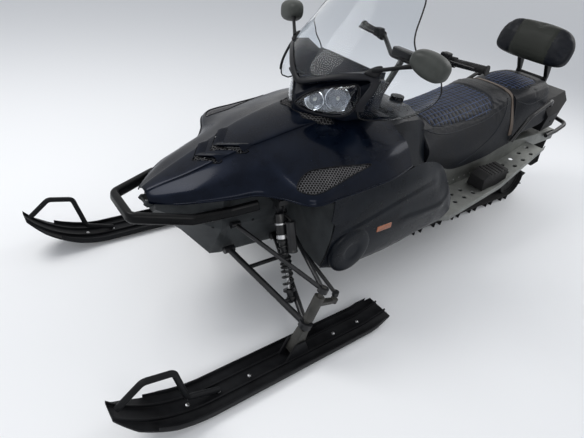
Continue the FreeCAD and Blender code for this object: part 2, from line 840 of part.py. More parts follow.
def backrest_pad():
    """Rounded pad, wider below, leaning back."""
    half = 232.0
    # outline in Y and Z, before the lean
    outline = [(-half, 30.0), (-half + 40.0, 0.0), (half - 40.0, 0.0), (half, 30.0), (half - 8.0, 130.0),
               (half - 72.0, 208.0), (-half + 72.0, 208.0), (-half + 8.0, 130.0)]
    pad = prism([(0.0, y, z) for y, z in outline], (104.0, 0, 0))
    long_edges = [e for e in pad.Edges if abs(e.tangentAt(e.FirstParameter).x) < 0.1]
    pad = pad.makeFillet(26.0, long_edges)
    pad.rotate(V(0, 0, 0), V(0, 1, 0), -pad_lean)
    pad.translate(V(pad_x, 0.0, pad_z))
    return pad


def backrest_bracket():
    """Two flat stays from the tail to the pad, tied by a cross plate."""
    lean = math.tan(math.radians(pad_lean))
    faces = [(pad_x - seat_gap - 0.1 - (z - pad_z) * lean, z) for z in (pad_z + 36.0, pad_z + 128.0)]
    outline = [
        (-1254.0, 721.0), (-1276.0, 723.8), (-1276.0, 862.0),
        (faces[1][0] - 24.0, faces[1][1]), faces[1], faces[0], (-1254.0, 856.0),
    ]
    stays = [side_prism(outline, side * 92.0 - 12.0, side * 92.0 + 12.0) for side in (-1, 1)]
    stays.append(block((-1268.0, -1262.0), (-92.0, 92.0), (790.0, 850.0)))
    return join(stays)


def grab_rail():
    """Left hand rail for the passenger, from the tunnel side up and back to the tail."""
    low, high = [(-838.0, 241.7, 545.0), (-905.0, 262.0, 700.0)], [(-1090.0, 262.0, 776.0), (-1290.0, 184.5, 701.4)]
    return tube(low + high, 12.0, 60.0)


def tail_section(x, low_y, low_z, mid_y, mid_z, top_y, top_z, inset=0.0):
    return polygon([
        (x, -low_y + inset, low_z - inset), (x, low_y - inset, low_z - inset), (x, mid_y - inset, mid_z),
        (x, top_y - inset, top_z - inset), (x, -top_y + inset, top_z - inset), (x, -mid_y + inset, mid_z),
    ])


def tail_cowl():
    """Moulded cover behind the passenger seat, open below over the tunnel."""
    # sections: x, low half width, low z, mid half width, mid z, top half width, top z
    rows = [
        (-1250.4, 212.0, 540.0, 220.0, 640.0, 150.0, 720.0),
        (-1400.0, 206.0, 560.0, 214.0, 660.0, 150.0, 738.0),
        (-1530.0, 150.0, 640.0, 176.0, 710.0, 140.0, 762.0),
    ]
    outer = loft_sections(rows, tail_section)
    hollow = [(rows[0][0] - panel,) + rows[0][1:], rows[1], (rows[2][0] + panel,) + rows[2][1:]]
    hollow = [(r[0], r[1], r[2] - 8.0, r[3], r[4], r[5], r[6], panel) for r in hollow]
    return outer.cut(loft_sections(hollow, tail_section))


def tail_light():
    """Red lens on the tail's rear face."""
    lens = block((-1539.0, -1530.3), (-96.0, 96.0), (668.0, 716.0))
    return lens.makeFillet(3.0, lens.Edges)


# Hood and what opens with it
def hood_section(x, low_y, low_z, side_y, side_z, crown, inset=0.0):
    y1 = low_y - inset
    y2 = side_y - inset
    z1 = low_z - (30.0 if inset > 0 else 0.0)
    z2 = side_z - inset
    z3 = crown - inset
    edges = [
        Part.LineSegment(V(x, -y1, z1), V(x, y1, z1)).toShape(),
        Part.LineSegment(V(x, y1, z1), V(x, y2, z2)).toShape(),
        Part.Arc(V(x, y2, z2), V(x, 0, z3), V(x, -y2, z2)).toShape(),
        Part.LineSegment(V(x, -y2, z2), V(x, -y1, z1)).toShape(),
    ]
    return Part.Wire(edges)


def pod_section(x, out_y, low_z, top_y, top_z, in_z, inset=0.0):
    """Half section of the wide shoulder over the side panel."""
    z1 = low_z - (30.0 if inset > 0 else 0.0)
    return polygon([
        (x, 120.0, z1), (x, out_y - inset, z1), (x, out_y - inset, low_z + 18.0 - inset),
        (x, top_y - inset, top_z - inset), (x, 120.0, in_z - inset),
    ])


def hood_body(inset):
    """Outer or inner form of the hood: a domed middle with a shoulder each side."""
    rows = [list(row) for row in hood_rows]
    # shoulders: x, outer y, bottom z, ridge y, ridge z, inner z
    pods = [
        (945.0, 258.0, 606.0, 230.0, 640.0, 680.0),
        (832.0, 420.0, 630.0, 396.0, 664.0, 700.0),
        (600.0, 430.0, 648.0, 392.0, 700.0, 760.0),
        (400.0, 428.0, 668.0, 372.0, 742.0, 790.0),
        (312.0, 404.0, 680.0, 350.0, 756.0, 800.0),
    ]
    if inset > 0:
        rows[0][0] -= inset * 1.5
        rows[-1][0] -= 2.0
        pods[0] = (pods[0][0] - inset,) + pods[0][1:]
        pods[-1] = (pods[-1][0] - 2.0,) + pods[-1][1:]
    middle = loft_sections([row + [inset] for row in rows], hood_section)
    shoulder = loft_sections([row + (inset,) for row in pods], pod_section)
    return join([middle, shoulder, mirrored(shoulder)])


def chevron(apex_x, reach_x, reach_y, width, low_z, high_z):
    """Arrow-shaped prism that points forward."""
    points = [
        (apex_x, 0.0), (reach_x, reach_y), (reach_x - width, reach_y),
        (apex_x - width, 0.0), (reach_x - width, -reach_y), (reach_x, -reach_y),
    ]
    return plan_prism(points, low_z, high_z)


def leaf(low_z, high_z, grow=0.0):
    """Pointed oval of the side vent, in plan."""
    front = V(866.0 + grow, 345.0, low_z)
    rear = V(452.0 - grow, 298.0, low_z)
    edges = [
        Part.Arc(front, V(700.0, 372.0 + grow, low_z), rear).toShape(),
        Part.Arc(rear, V(640.0, 296.0 - grow, low_z), front).toShape(),
    ]
    return Part.Face(Part.Wire(edges)).extrude(V(0, 0, high_z - low_z))


def vent_cuts(grow=0.0):
    cuts = [
        chevron(1092.0 + grow, 1046.0 + grow, 66.0 + grow, 20.0 + 2 * grow, 560.0, 760.0),
        chevron(1008.0 + grow, 950.0 + grow, 84.0 + grow, 20.0 + 2 * grow, 600.0, 800.0),
        plan_prism([(668.0 + grow, 0.0), (640.0 + grow, 60.0 + grow), (560.0 - grow, 128.0 + grow),
                    (560.0 - grow, -128.0 - grow), (640.0 + grow, -60.0 - grow)], 700.0, 880.0),
        leaf(634.0, 860.0, grow),
        mirrored(leaf(634.0, 860.0, grow)),
    ]
    return Part.makeCompound(cuts)


def hood():
    """Glass-fibre hood shell with vent openings."""
    shell = hood_body(0.0).cut(hood_body(panel)).cut(vent_cuts())
    nose = hood_rows[0]
    web = block((nose[0] - panel, nose[0]), (-knuckle_half, knuckle_half), (hinge_z, nose[2] + 14.0))
    eye = cross_rod(hinge_x, (-knuckle_half, knuckle_half), hinge_z, hinge_radius + 5.0)
    bore = cross_rod(hinge_x, (-knuckle_half - 1.0, knuckle_half + 1.0), hinge_z, hinge_radius + pin_gap)
    return join([shell, web, eye]).cut(bore)


def vent_screens():
    """Mesh plates that close the vents from below."""
    depth = panel + 0.3
    plates = hood_body(depth).cut(hood_body(depth + 3.0))
    return plates.common(vent_cuts(6.0))


def lamp_pod_section(x, low_y, low_z, top_y, top_z):
    return polygon([
        (x, -low_y, low_z), (x, low_y, low_z), (x, top_y, top_z - 26.0), (x, top_y * 0.7, top_z),
        (x, -top_y * 0.7, top_z), (x, -top_y, top_z - 26.0),
    ])


def lamp_pod_full():
    """Raised housing of both headlights, with the visor above them."""
    # sections: x, low half width, low z, top half width, top z
    rows = [
        (656.0, 9.0, 780.0, 8.0, 872.0),
        (610.0, 84.0, 740.0, 88.0, 922.0),
        (520.0, 166.0, 740.0, 174.0, 968.0),
        (420.0, 196.0, 740.0, 208.0, 1006.0),
        (352.0, 180.0, 740.0, 196.0, 986.0),
    ]
    return loft_sections(rows, lamp_pod_section)


def lens_prism(grow=0.0):
    """Outline of the left headlight, pushed through the pod's front corner."""
    start = V(651.0, 6.0, 0.0)
    along = V(-131.0, 168.0, 0.0)
    length = along.Length
    along.normalize()
    facing = V(-along.y, along.x, 0.0) * -1.0
    # outline: distance outwards, height
    outline = [
        (8.0, 836.0), (52.0, 823.0), (120.0, 822.0), (196.0, 838.0),
        (214.0, 905.0), (196.0, 936.0), (112.0, 918.0), (50.0, 880.0),
    ]
    middle = (115.0, 872.0)
    corners = []
    for a, z in outline:
        a += math.copysign(grow, a - middle[0])
        z += math.copysign(grow, z - middle[1])
        corners.append(start + along * a + V(0, 0, z) + facing * 70.0)
    face = Part.Face(Part.makePolygon(corners + [corners[0]]))
    return face.extrude(facing * -110.0)


def visor():
    """Shelf over the headlights that the windshield's lower edge stands against."""
    half = brow[1:]
    line = [(-y, z) for y, z in reversed(half)] + [brow[0]] + half
    low = [(brow_x, y, z - visor_low) for y, z in line]
    high = [(brow_x, y, z + visor_high) for y, z in reversed(line)]
    return prism(low + high, (290.0, 0, 0))


def lamp_pod():
    """Housing with the visor and the brackets that carry the windshield."""
    bracket = block((brow_x, brow_x + 40.0), (150.0, 340.0), (850.0, 874.0))
    inside = screen_form(glass + seat_gap)
    carriers = join([visor(), bracket, mirrored(bracket)]).common(inside)
    pod = join([lamp_pod_full(), carriers])
    pod = pod.cut(hood_body(-0.3))
    cut = lens_prism(0.3)
    binnacle = block((340.0, 372.0), (-120.0, 120.0), (872.0, 960.0))
    return pod.cut(cut).cut(mirrored(cut)).cut(binnacle)


def headlights():
    lens = lamp_pod_full().common(lens_prism())
    return both(lens)


def instrument_panel():
    """Gauge housing in the pod's rear face."""
    panel_face = block((352.0, 371.7), (-119.7, 119.7), (872.3, 959.7))
    dial = Part.makeCylinder(38.0, 8.0, V(352.0, 45.0, 916.0), V(-1, 0, 0))
    second = Part.makeCylinder(38.0, 8.0, V(352.0, -45.0, 916.0), V(-1, 0, 0))
    return join([panel_face, dial, second])


def screen_form(inset):
    """Solid behind the windshield's outer face, at a distance inside it."""
    wires = []
    for z, centre_x, edge_x, edge_y in screen_rows:
        left = V(edge_x, edge_y - inset, z)
        right = V(edge_x, inset - edge_y, z)
        bow = Part.Arc(left, V(centre_x - inset, 0, z), right).toShape()
        wires.append(Part.Wire([bow, Part.LineSegment(right, left).toShape()]))
    return Part.makeLoft(wires, True, True)


def screen_section(z, centre_x, edge_x, edge_y):
    """Thin bow of the windshield at one height."""
    outer = Part.Arc(V(edge_x, edge_y, z), V(centre_x, 0, z), V(edge_x, -edge_y, z)).toShape()
    inner_y = edge_y - glass
    inner = Part.Arc(V(edge_x, -inner_y, z), V(centre_x - glass, 0, z), V(edge_x, inner_y, z)).toShape()
    left = Part.LineSegment(V(edge_x, -edge_y, z), V(edge_x, -inner_y, z)).toShape()
    right = Part.LineSegment(V(edge_x, inner_y, z), V(edge_x, edge_y, z)).toShape()
    return Part.Wire([outer, left, inner, right])


def headlight_way():
    """Opening in the windshield's front, above and beside the headlights."""
    half = brow[1:] + strut + [(strut[-1][0], 800.0)]
    outline = [(-y, z) for y, z in reversed(half)] + [brow[0]] + half
    return prism([(brow_x, y, z) for y, z in outline], (300.0, 0, 0))


def windshield():
    """Clear bowed screen, cut out round the headlights, with hand-guarding sides low down."""
    return Part.makeLoft([screen_section(*row) for row in screen_rows], True, True).cut(headlight_way())


def mirror_unit():
    """Left mirror: rounded housing on an arm from the screen's side."""
    head = Part.makeBox(58.0, 158.0, 96.0, V(-29.0, -79.0, -48.0))
    head = head.makeFillet(24.0, head.Edges)
    head.rotate(V(0, 0, 0), V(1, 0, 0), -12.0)
    head.rotate(V(0, 0, 0), V(0, 0, 1), 12.0)
    head.translate(V(415.0, 424.0, 1104.0))
    arm = rod((516.0, 246.0, 1034.0), (430.0, 372.0, 1088.0), 10.0)
    foot = rod((516.0, 246.0, 1034.0), (492.0, 229.0, 1026.0), 16.0)
    return join([head, arm, foot]).cut(screen_form(-seat_gap))


# Steering
def column_point(down):
    """Point on the steering column, at a distance below the handlebar."""
    x = column_x + down * math.sin(column_rad)
    return (x, 0.0, column_z - down * math.cos(column_rad))


def steering_post():
    return rod(column_point(bar_radius + 0.3), column_point(430.0), post_radius)


def handlebar():
    """Bent bar with the clamp on the column's top."""
    side = [(column_x, 70.0, column_z), (-12.0, 190.0, 1034.0), (-40.0, grip_end_y - 6.0, 1046.0)]
    points = [(x, y, z) for x, y, z in reversed(side)] + [(x, -y, z) for x, y, z in side]
    bar = tube(points, bar_radius, 50.0)
    pad = Part.makeBox(44.0, 120.0, 40.0, V(column_x - 22.0, -60.0, column_z + 5.0))
    pad = pad.makeFillet(9.0, pad.Edges)
    return join([bar, pad])


def grip():
    """Left rubber grip with a flange at its inner end."""
    end = V(-40.0, grip_end_y - 6.0, 1046.0)
    inner = V(-12.0, 190.0, 1034.0)
    along = (inner - end).normalize()
    start = end - along * 6.0
    body = Part.makeCylinder(grip_radius, grip_length, start, along)
    flange = Part.makeCylinder(grip_radius + 6.0, 5.0, start + along * (grip_length - 5.0), along)
    cap = Part.makeCylinder(grip_radius + 5.0, 6.0, start, along)
    bore = Part.makeCylinder(bar_radius + 0.3, grip_length, start + along * 5.7, along)
    return join([body, flange, cap]).cut(bore)


def hand_lever():
    """Left control: a housing round the bar and a blade in front of the grip."""
    inner = V(-12.0, 190.0, 1034.0)
    end = V(-40.0, grip_end_y - 6.0, 1046.0)
    along = (end - inner).normalize()
    seat = inner + along * 16.0
    housing = Part.makeCylinder(22.0, 20.0, seat, along)
    tank = block((3.0, 46.0), (184.0, 222.0), (1034.0, 1074.0))
    tank = tank.makeFillet(7.0, tank.Edges)
    blade = side_like_blade()
    bore = Part.makeCylinder(bar_radius + 0.3, 80.0, seat - along * 20.0, along)
    return join([housing, tank, blade]).cut(bore)


def side_like_blade():
    points = [
        (26.0, 196.0), (44.0, 196.0), (44.0, 250.0), (22.0, 336.0), (24.0, 344.0),
        (12.0, 344.0), (10.0, 334.0), (30.0, 248.0),
    ]
    return plan_prism(points, 1040.0, 1050.0)


# Front suspension
def kingpin_place(shape):
    """Turn a piece made on an upright axis onto the left kingpin axis."""
    shape.rotate(V(0, 0, 0), V(0, 1, 0), -caster)
    shape.translate(V(kingpin_x, kingpin_y, kingpin_z))
    return shape


def kingpin_point(height, back=0.0):
    x = kingpin_x - height * math.sin(caster_rad) - back * math.cos(caster_rad)
    z = kingpin_z + height * math.cos(caster_rad) - back * math.sin(caster_rad)
    return (x, kingpin_y, z)


def spindle():
    """Cast leg on the kingpin axis with the rearward steering arm."""
    foot = Part.makeBox(44.0, 2 * foot_half, 50.0, V(-22.0, -foot_half, -34.0))
    leg = loft_sections(
        [(16.0, 22.0, 20.0), (lower_eye - 20.0, 17.0, 17.0)],
        lambda z, a, b: polygon([(-a, -b, z), (a, -b, z), (a, b, z), (-a, b, z)]),
    )
    neck = Part.makeCylinder(neck_radius, 56.0, V(0, 0, lower_eye - 20.0))
    knuckle_low = lower_eye + 26.0
    knuckle_high = upper_eye - 30.0
    knuckle = Part.makeCylinder(spindle_radius, knuckle_high - knuckle_low, V(0, 0, knuckle_low))
    pin = Part.makeCylinder(top_pin_radius, 46.0, V(0, 0, knuckle_high - 2.0))
    low = arm_height - 7.0
    arm = prism([(0, -16.0, low), (0, 16.0, low), (-steering_arm, 11.0, low),
                 (-steering_arm, -11.0, low)], (0, 0, 14.0))
    boss = Part.makeCylinder(15.0, 18.0, V(-steering_arm, 0, low))
    return kingpin_place(join([foot, leg, neck, knuckle, pin, arm, boss]))


def ski_outline():
    """Side line of the ski from tail to tip, as arcs and straight runs."""
    low = keel_height + 2.0
    tail = V(ski_tail_x, 0, low + 26.0)
    tip = V(ski_tip_x, 0, ski_tip_z)
    flat_rear = V(540.0, 0, low)
    flat_front = V(1300.0, 0, low)
    curve = V(1490.0, 0, low + 58.0)
    up = V(0, 0, ski_deck)
    edges = [
        Part.LineSegment(tail, flat_rear).toShape(),
        Part.LineSegment(flat_rear, flat_front).toShape(),
        Part.Arc(flat_front, curve, tip).toShape(),
        Part.LineSegment(tip, tip + up).toShape(),
        Part.Arc(tip + up, curve + up, flat_front + up).toShape(),
        Part.LineSegment(flat_front + up, flat_rear + up).toShape(),
        Part.LineSegment(flat_rear + up, tail + up).toShape(),
        Part.LineSegment(tail + up, tail).toShape(),
    ]
    return Part.Wire(edges)


def ski():
    """Left moulded ski with a keel, two deck ribs, side walls and the mount for the spindle."""
    half = ski_width / 2.0
    face = Part.Face(ski_outline())
    blade = face.extrude(V(0, ski_width, 0))
    blade.translate(V(0, -half, 0))
    pieces = [blade]
    # walls and ribs: low y, high y, rise
    ribs = [(-half, -half + 7.0, 16.0), (half - 7.0, half, 16.0), (-31.0, -25.0, 12.0), (25.0, 31.0, 12.0)]
    for y1, y2, rise in ribs:
        rib = face.extrude(V(0, y2 - y1, 0))
        rib.translate(V(0, y1, rise))
        pieces.append(rib.fuse(rib.translated(V(0, 0, -rise * 0.5))))
    keel_low = [(470.0, 30.0), (560.0, 10.0), (1280.0, 10.0), (1380.0, 32.0)]
    keel_high = [(1280.0, 18.0), (560.0, 18.0)]
    pieces.append(side_prism(keel_low + keel_high, -18.0, 18.0))
    solid = join(pieces)
    plan = [
        (ski_tail_x - 5.0, -half + 12.0), (500.0, -half), (1440.0, -half), (1560.0, -half + 14.0),
        (ski_tip_x + 6.0, -half + 44.0), (ski_tip_x + 6.0, half - 44.0), (1560.0, half - 14.0),
        (1440.0, half), (500.0, half), (ski_tail_x - 5.0, half - 12.0),
    ]
    solid = solid.common(plan_prism(plan, -10.0, 300.0))
    deck = keel_height + 2.0 + ski_deck
    ears = []
    for side in (-1, 1):
        y = side * (foot_half + seat_gap)
        ear = side_prism([(850.0, deck - 2.0), (974.0, deck - 2.0), (936.0, 108.0), (888.0, 108.0)],
                         min(y, y + side * 8.0), max(y, y + side * 8.0))
        ears.append(ear)
    solid = join([solid] + ears)
    solid.translate(V(0, kingpin_y, 0))
    return solid


def wear_bar():
    """Steel runner under the left ski's keel."""
    bar = side_prism([(520.0, 9.7), (640.0, 0.0), (1200.0, 0.0), (1290.0, 9.7)], -5.0, 5.0)
    bar.translate(V(0, kingpin_y, 0))
    return bar


def ski_loop():
    """Handle loop over the left ski's tip."""
    points = [
        (1600.0, kingpin_y, 190.0), (1520.0, kingpin_y, 262.0), (1420.0, kingpin_y, 240.0),
        (1372.0, kingpin_y, 78.0), (1250.0, kingpin_y, 34.8),
    ]
    return tube(points, 11.0, 26.0)


def across_arm(share):
    """Points on the lower arm's two tubes, at a share of their length from the pivots."""
    eye_at = kingpin_point(lower_eye)
    ends = []
    for pivot in lower_pivots:
        ends.append(tuple(p + (e - p) * share for p, e in zip(pivot, eye_at)))
    return ends


def lower_arm():
    """Left lower wishbone: an eye round the spindle's neck, two tubes and two cross members."""
    eye_at = kingpin_point(lower_eye)
    ring = Part.makeCylinder(27.0, 24.0, V(0, 0, lower_eye - 12.0))
    hole = Part.makeCylinder(neck_radius + pin_gap, 60.0, V(0, 0, lower_eye - 30.0))
    front, rear = lower_pivots
    tubes = [rod(front, eye_at, 13.0), rod(rear, eye_at, 13.0)]
    tubes.append(Part.makeCylinder(15.0, 46.0, V(front[0] - 23.0, front[1], front[2]), V(1, 0, 0)))
    tubes.append(Part.makeCylinder(15.0, 46.0, V(rear[0] - 23.0, rear[1], rear[2]), V(1, 0, 0)))

    for share in (0.26, shock_share):
        ends = across_arm(share)
        tubes.append(rod(ends[0], ends[1], cross_radius))
    arm = join(tubes + [kingpin_place(ring)])
    return arm.cut(kingpin_place(hole))


def upper_arm():
    """Left upper wishbone with its eye over the spindle's pin."""
    eye_at = kingpin_point(upper_eye)
    ring = kingpin_place(Part.makeCylinder(20.0, 22.0, V(0, 0, upper_eye - 11.0)))
    hole = kingpin_place(Part.makeCylinder(top_pin_radius + pin_gap, 40.0, V(0, 0, upper_eye - 20.0)))
    front = (990.0, 162.4, 430.0)
    rear = (765.0, 162.4, 430.0)
    tubes = [ring]
    for end in (front, rear):
        tubes.append(rod(end, eye_at, 9.0))
        tubes.append(Part.makeCylinder(12.0, 40.0, V(end[0] - 20.0, end[1], end[2]), V(1, 0, 0)))
    return join(tubes).cut(hole)


def ski_shock():
    """Left ski damper with an eye at each end, its spring and its separate reservoir."""
    front, rear = across_arm(shock_share)
    top = V(*shock_top)
    low = V(top.x + shock_slant, (front[1] + rear[1]) / 2.0, (front[2] + rear[2]) / 2.0)
    along = (low - top).normalize()
    reach = shock_eye + 7.0
    damper = coil_damper(top + along * reach, low - along * (shock_eye - 4.0), shock_radius, 7, 0.42)
    eyes = [rod(tuple(top), tuple(top + along * (reach + 1.0)), shock_eye * 0.45)]
    for x, y, z in (top, low):
        eyes.append(rod((x - shock_eye_half, y, z), (x + shock_eye_half, y, z), shock_eye))
    bore = rod(rear, front, cross_radius + pin_gap)
    tank = rod((856.0, 326.0, 512.0), (860.0, 378.0, 400.0), 19.0)
    neck = rod((876.0, 280.0, 512.0), (856.0, 329.0, 505.0), 12.0)
    return join([damper, tank, neck] + eyes).cut(bore)


def front_frame():
    """Cross beam over the belly pan with a fork for each ski damper's upper eye."""
    x, y, z = shock_top
    beam = block((x - 20.0, x + 20.0), (-y - 24.0, y + 24.0), (560.4, 582.0))
    plates = []
    for side in (-1, 1):
        for lean in (-1, 1):
            face = x + lean * (shock_eye_half + seat_gap)
            plates.append(block(
                (min(face, face + lean * 8.0), max(face, face + lean * 8.0)),
                (side * y - 18.0, side * y + 18.0), (z - 12.0, 562.0),
            ))
    return join([beam] + plates)


def tie_rod_ball():
    """Middle of the tie rod's outer eye, above the end of the steering arm."""
    arm_end = kingpin_point(arm_height, steering_arm)
    return (arm_end[0], arm_end[1], arm_end[2] + 38.0)


def tie_rods():
    """Both tie rods on the cross link that the steering column moves."""
    x, y, z = tie_rod_ball()
    parts = [rod((x, -link_half, link_z), (x, link_half, link_z), tie_rod_radius + 2.0)]
    for side in (-1, 1):
        parts.append(rod((x, side * link_half, link_z), (x, side * y, z), tie_rod_radius))
        parts.append(Part.makeSphere(tie_rod_radius + 2.0, V(x, side * link_half, link_z)))
        parts.append(Part.makeCylinder(13.0, 18.0, V(x, side * y, z - 9.0)))
    return join(parts)


os.makedirs("parts", exist_ok=True)

save("track", track())
save("slide_rails", slide_rails())
save("idler_wheels", idler_wheels())
save("drive_axle", drive_axle())
save("suspension_arms", suspension_arms())
save("rear_dampers", rear_dampers())
save("tunnel", tunnel())
board = running_board()
save("running_board_left", board)
save("running_board_right", mirrored(board))
save("passenger_footrests", both(passenger_footrest()))
save("snow_flap", snow_flap())
save("rear_bumper", rear_bumper())
save("belly_pan", belly_pan())
panel_left = side_panel()
save("side_panel_left", panel_left)
save("side_panel_right", mirrored(panel_left))
save("side_reflectors", both(reflector()))
save("front_bumper", front_bumper())
save("front_frame", front_frame())
save("engine_block", engine_block())
save("tank_cowl", tank_cowl())
save("fuel_cap", fuel_cap())
save("driver_seat", driver_seat())
save("passenger_seat", passenger_seat())
save("backrest_pad", backrest_pad())
save("backrest_bracket", backrest_bracket())
save("grab_rails", both(grab_rail()))
save("tail_cowl", tail_cowl())
save("tail_light", tail_light())
save("hood", hood())
save("vent_screens", vent_screens())
save("lamp_pod", lamp_pod())
save("headlights", headlights())
save("instrument_panel", instrument_panel())
save("windshield", windshield())
save("mirrors", both(mirror_unit()))
save("steering_post", steering_post())
save("handlebar", handlebar())
save("grips", both(grip()))
save("hand_levers", both(hand_lever()))
save("lower_arms", both(lower_arm()))
save("upper_arms", both(upper_arm()))
save("ski_shocks", both(ski_shock()))
save("tie_rods", tie_rods())

# Each ski turns with its spindle; the right side mirrors the left
ski_pieces = {"spindle": spindle(), "ski": ski(), "wear_bar": wear_bar(), "ski_loop": ski_loop()}
for name, shape in ski_pieces.items():
    save(name + "_left", shape)
    save(name + "_right", mirrored(shape))
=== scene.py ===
import math
import bpy
import bmesh
import numpy as np
from mathutils import Matrix, Vector
from mathutils.bvhtree import BVHTree
from mathutils.kdtree import KDTree


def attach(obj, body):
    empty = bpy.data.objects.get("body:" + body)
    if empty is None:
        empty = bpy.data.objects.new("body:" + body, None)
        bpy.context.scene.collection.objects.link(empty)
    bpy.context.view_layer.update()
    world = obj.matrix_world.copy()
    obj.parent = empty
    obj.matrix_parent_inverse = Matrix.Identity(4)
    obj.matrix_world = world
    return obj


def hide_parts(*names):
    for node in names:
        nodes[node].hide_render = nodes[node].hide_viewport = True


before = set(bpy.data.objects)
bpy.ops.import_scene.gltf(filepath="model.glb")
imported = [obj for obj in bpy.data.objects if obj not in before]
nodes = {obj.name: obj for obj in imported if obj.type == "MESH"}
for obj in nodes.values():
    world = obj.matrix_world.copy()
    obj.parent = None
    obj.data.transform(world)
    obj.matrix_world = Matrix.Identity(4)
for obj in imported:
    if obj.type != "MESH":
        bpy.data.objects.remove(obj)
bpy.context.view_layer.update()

mm = 0.001


# plain mesh helpers

def newMesh(name, points, faces):
    mesh = bpy.data.meshes.new(name)
    mesh.from_pydata([tuple(p) for p in points], [], faces)
    mesh.validate()
    mesh.update()
    piece = bpy.data.objects.new(name, mesh)
    bpy.context.scene.collection.objects.link(piece)
    return piece


def inMetres(points):
    return [tuple(c * mm for c in p) for p in points]


def weld(piece, reach):
    work = bmesh.new()
    work.from_mesh(piece.data)
    bmesh.ops.remove_doubles(work, verts=work.verts, dist=reach)
    bmesh.ops.recalc_face_normals(work, faces=work.faces)
    work.to_mesh(piece.data)
    work.free()


def shadeByAngle(piece, degrees):
    mesh = piece.data
    work = bmesh.new()
    work.from_mesh(mesh)
    limit = math.radians(degrees)
    for face in work.faces:
        face.smooth = True
    for edge in work.edges:
        edge.smooth = not (len(edge.link_faces) == 2 and edge.calc_face_angle(0.0) > limit)
    work.to_mesh(mesh)
    work.free()
    mesh.update()


def bake(piece):
    # the modifiers become plain mesh
    graph = bpy.context.evaluated_depsgraph_get()
    graph.update()
    mesh = bpy.data.meshes.new_from_object(piece.evaluated_get(graph))
    old = piece.data
    if piece.type == "MESH":
        piece.modifiers.clear()
        piece.data = mesh
        return piece
    made = bpy.data.objects.new(piece.name, mesh)
    bpy.context.scene.collection.objects.link(made)
    name = piece.name
    bpy.data.objects.remove(piece)
    bpy.data.curves.remove(old)
    made.name = name
    return made


def addModifier(piece, kind, **settings):
    modifier = piece.modifiers.new(kind.title(), kind)
    for key, value in settings.items():
        setattr(modifier, key, value)
    return modifier


def joinPieces(name, parts):
    work = bmesh.new()
    for part in parts:
        mesh = part.data.copy()
        mesh.transform(part.matrix_world)
        work.from_mesh(mesh)
        bpy.data.meshes.remove(mesh)
    mesh = bpy.data.meshes.new(name)
    work.to_mesh(mesh)
    work.free()
    whole = bpy.data.objects.new(name, mesh)
    for material in parts[0].data.materials:
        mesh.materials.append(material)
    bpy.context.scene.collection.objects.link(whole)
    for part in parts:
        bpy.data.objects.remove(part)
    return whole


def mirrorPiece(piece, name):
    mesh = piece.data.copy()
    mesh.transform(Matrix.Diagonal((1.0, -1.0, 1.0, 1.0)))
    mesh.flip_normals()
    twin = bpy.data.objects.new(name, mesh)
    bpy.context.scene.collection.objects.link(twin)
    return twin


def smoothLine(points, steps, closed=False):
    # Catmull-Rom line through the points; a point given twice makes a crease
    points = np.asarray(points, float)
    count = len(points)
    line = []
    spans = count if closed else count - 1
    for i in range(spans):
        if closed:
            a, b, c, d = (points[(i + k) % count] for k in (-1, 0, 1, 2))
        else:
            b, c = points[i], points[i + 1]
            a = points[i - 1] if i > 0 else 2 * b - c
            d = points[i + 2] if i + 2 < count else 2 * c - b
        if np.allclose(b, c):
            line.append(b)
            continue
        for t in np.linspace(0.0, 1.0, steps, endpoint=False):
            line.append(0.5 * (2 * b + (c - a) * t + (2 * a - 5 * b + 4 * c - d) * t * t
                               + (3 * b - a - 3 * c + d) * t ** 3))
    if not closed:
        line.append(points[-1])
    return np.array(line)


def skinGrid(stations, acrossSteps, alongSteps, mirrored=False):
    # stations run along the piece, each a list of points across it
    rows = []
    for station in stations:
        station = np.asarray(station, float)
        if mirrored:
            twin = station[:0:-1] * np.array([1.0, -1.0, 1.0])
            station = np.vstack([twin, station])
        rows.append(smoothLine(station, acrossSteps))
    rows = np.array(rows)
    columns = [smoothLine(rows[:, j], alongSteps) for j in range(rows.shape[1])]
    return np.array(columns).transpose(1, 0, 2)


def gridPiece(name, grid, closedAcross=False):
    rows, columns = grid.shape[:2]
    faces = []
    wrap = columns if closedAcross else columns - 1
    for i in range(rows - 1):
        for j in range(wrap):
            k = (j + 1) % columns
            faces.append((i * columns + j, i * columns + k, (i + 1) * columns + k, (i + 1) * columns + j))
    return newMesh(name, grid.reshape(-1, 3), faces)


def insideOutline(x, y, outline):
    hits = False
    for (x1, y1), (x2, y2) in zip(outline, outline[1:] + outline[:1]):
        if (y1 > y) != (y2 > y) and x < (x2 - x1) * (y - y1) / (y2 - y1) + x1:
            hits = not hits
    return hits


def faceMeets(face, axes, low, high):
    # whether the face's box along two axes meets the box from low to high
    us = [v.co[axes[0]] for v in face.verts]
    vs = [v.co[axes[1]] for v in face.verts]
    return max(us) > low[0] and min(us) < high[0] and max(vs) > low[1] and min(vs) < high[1]


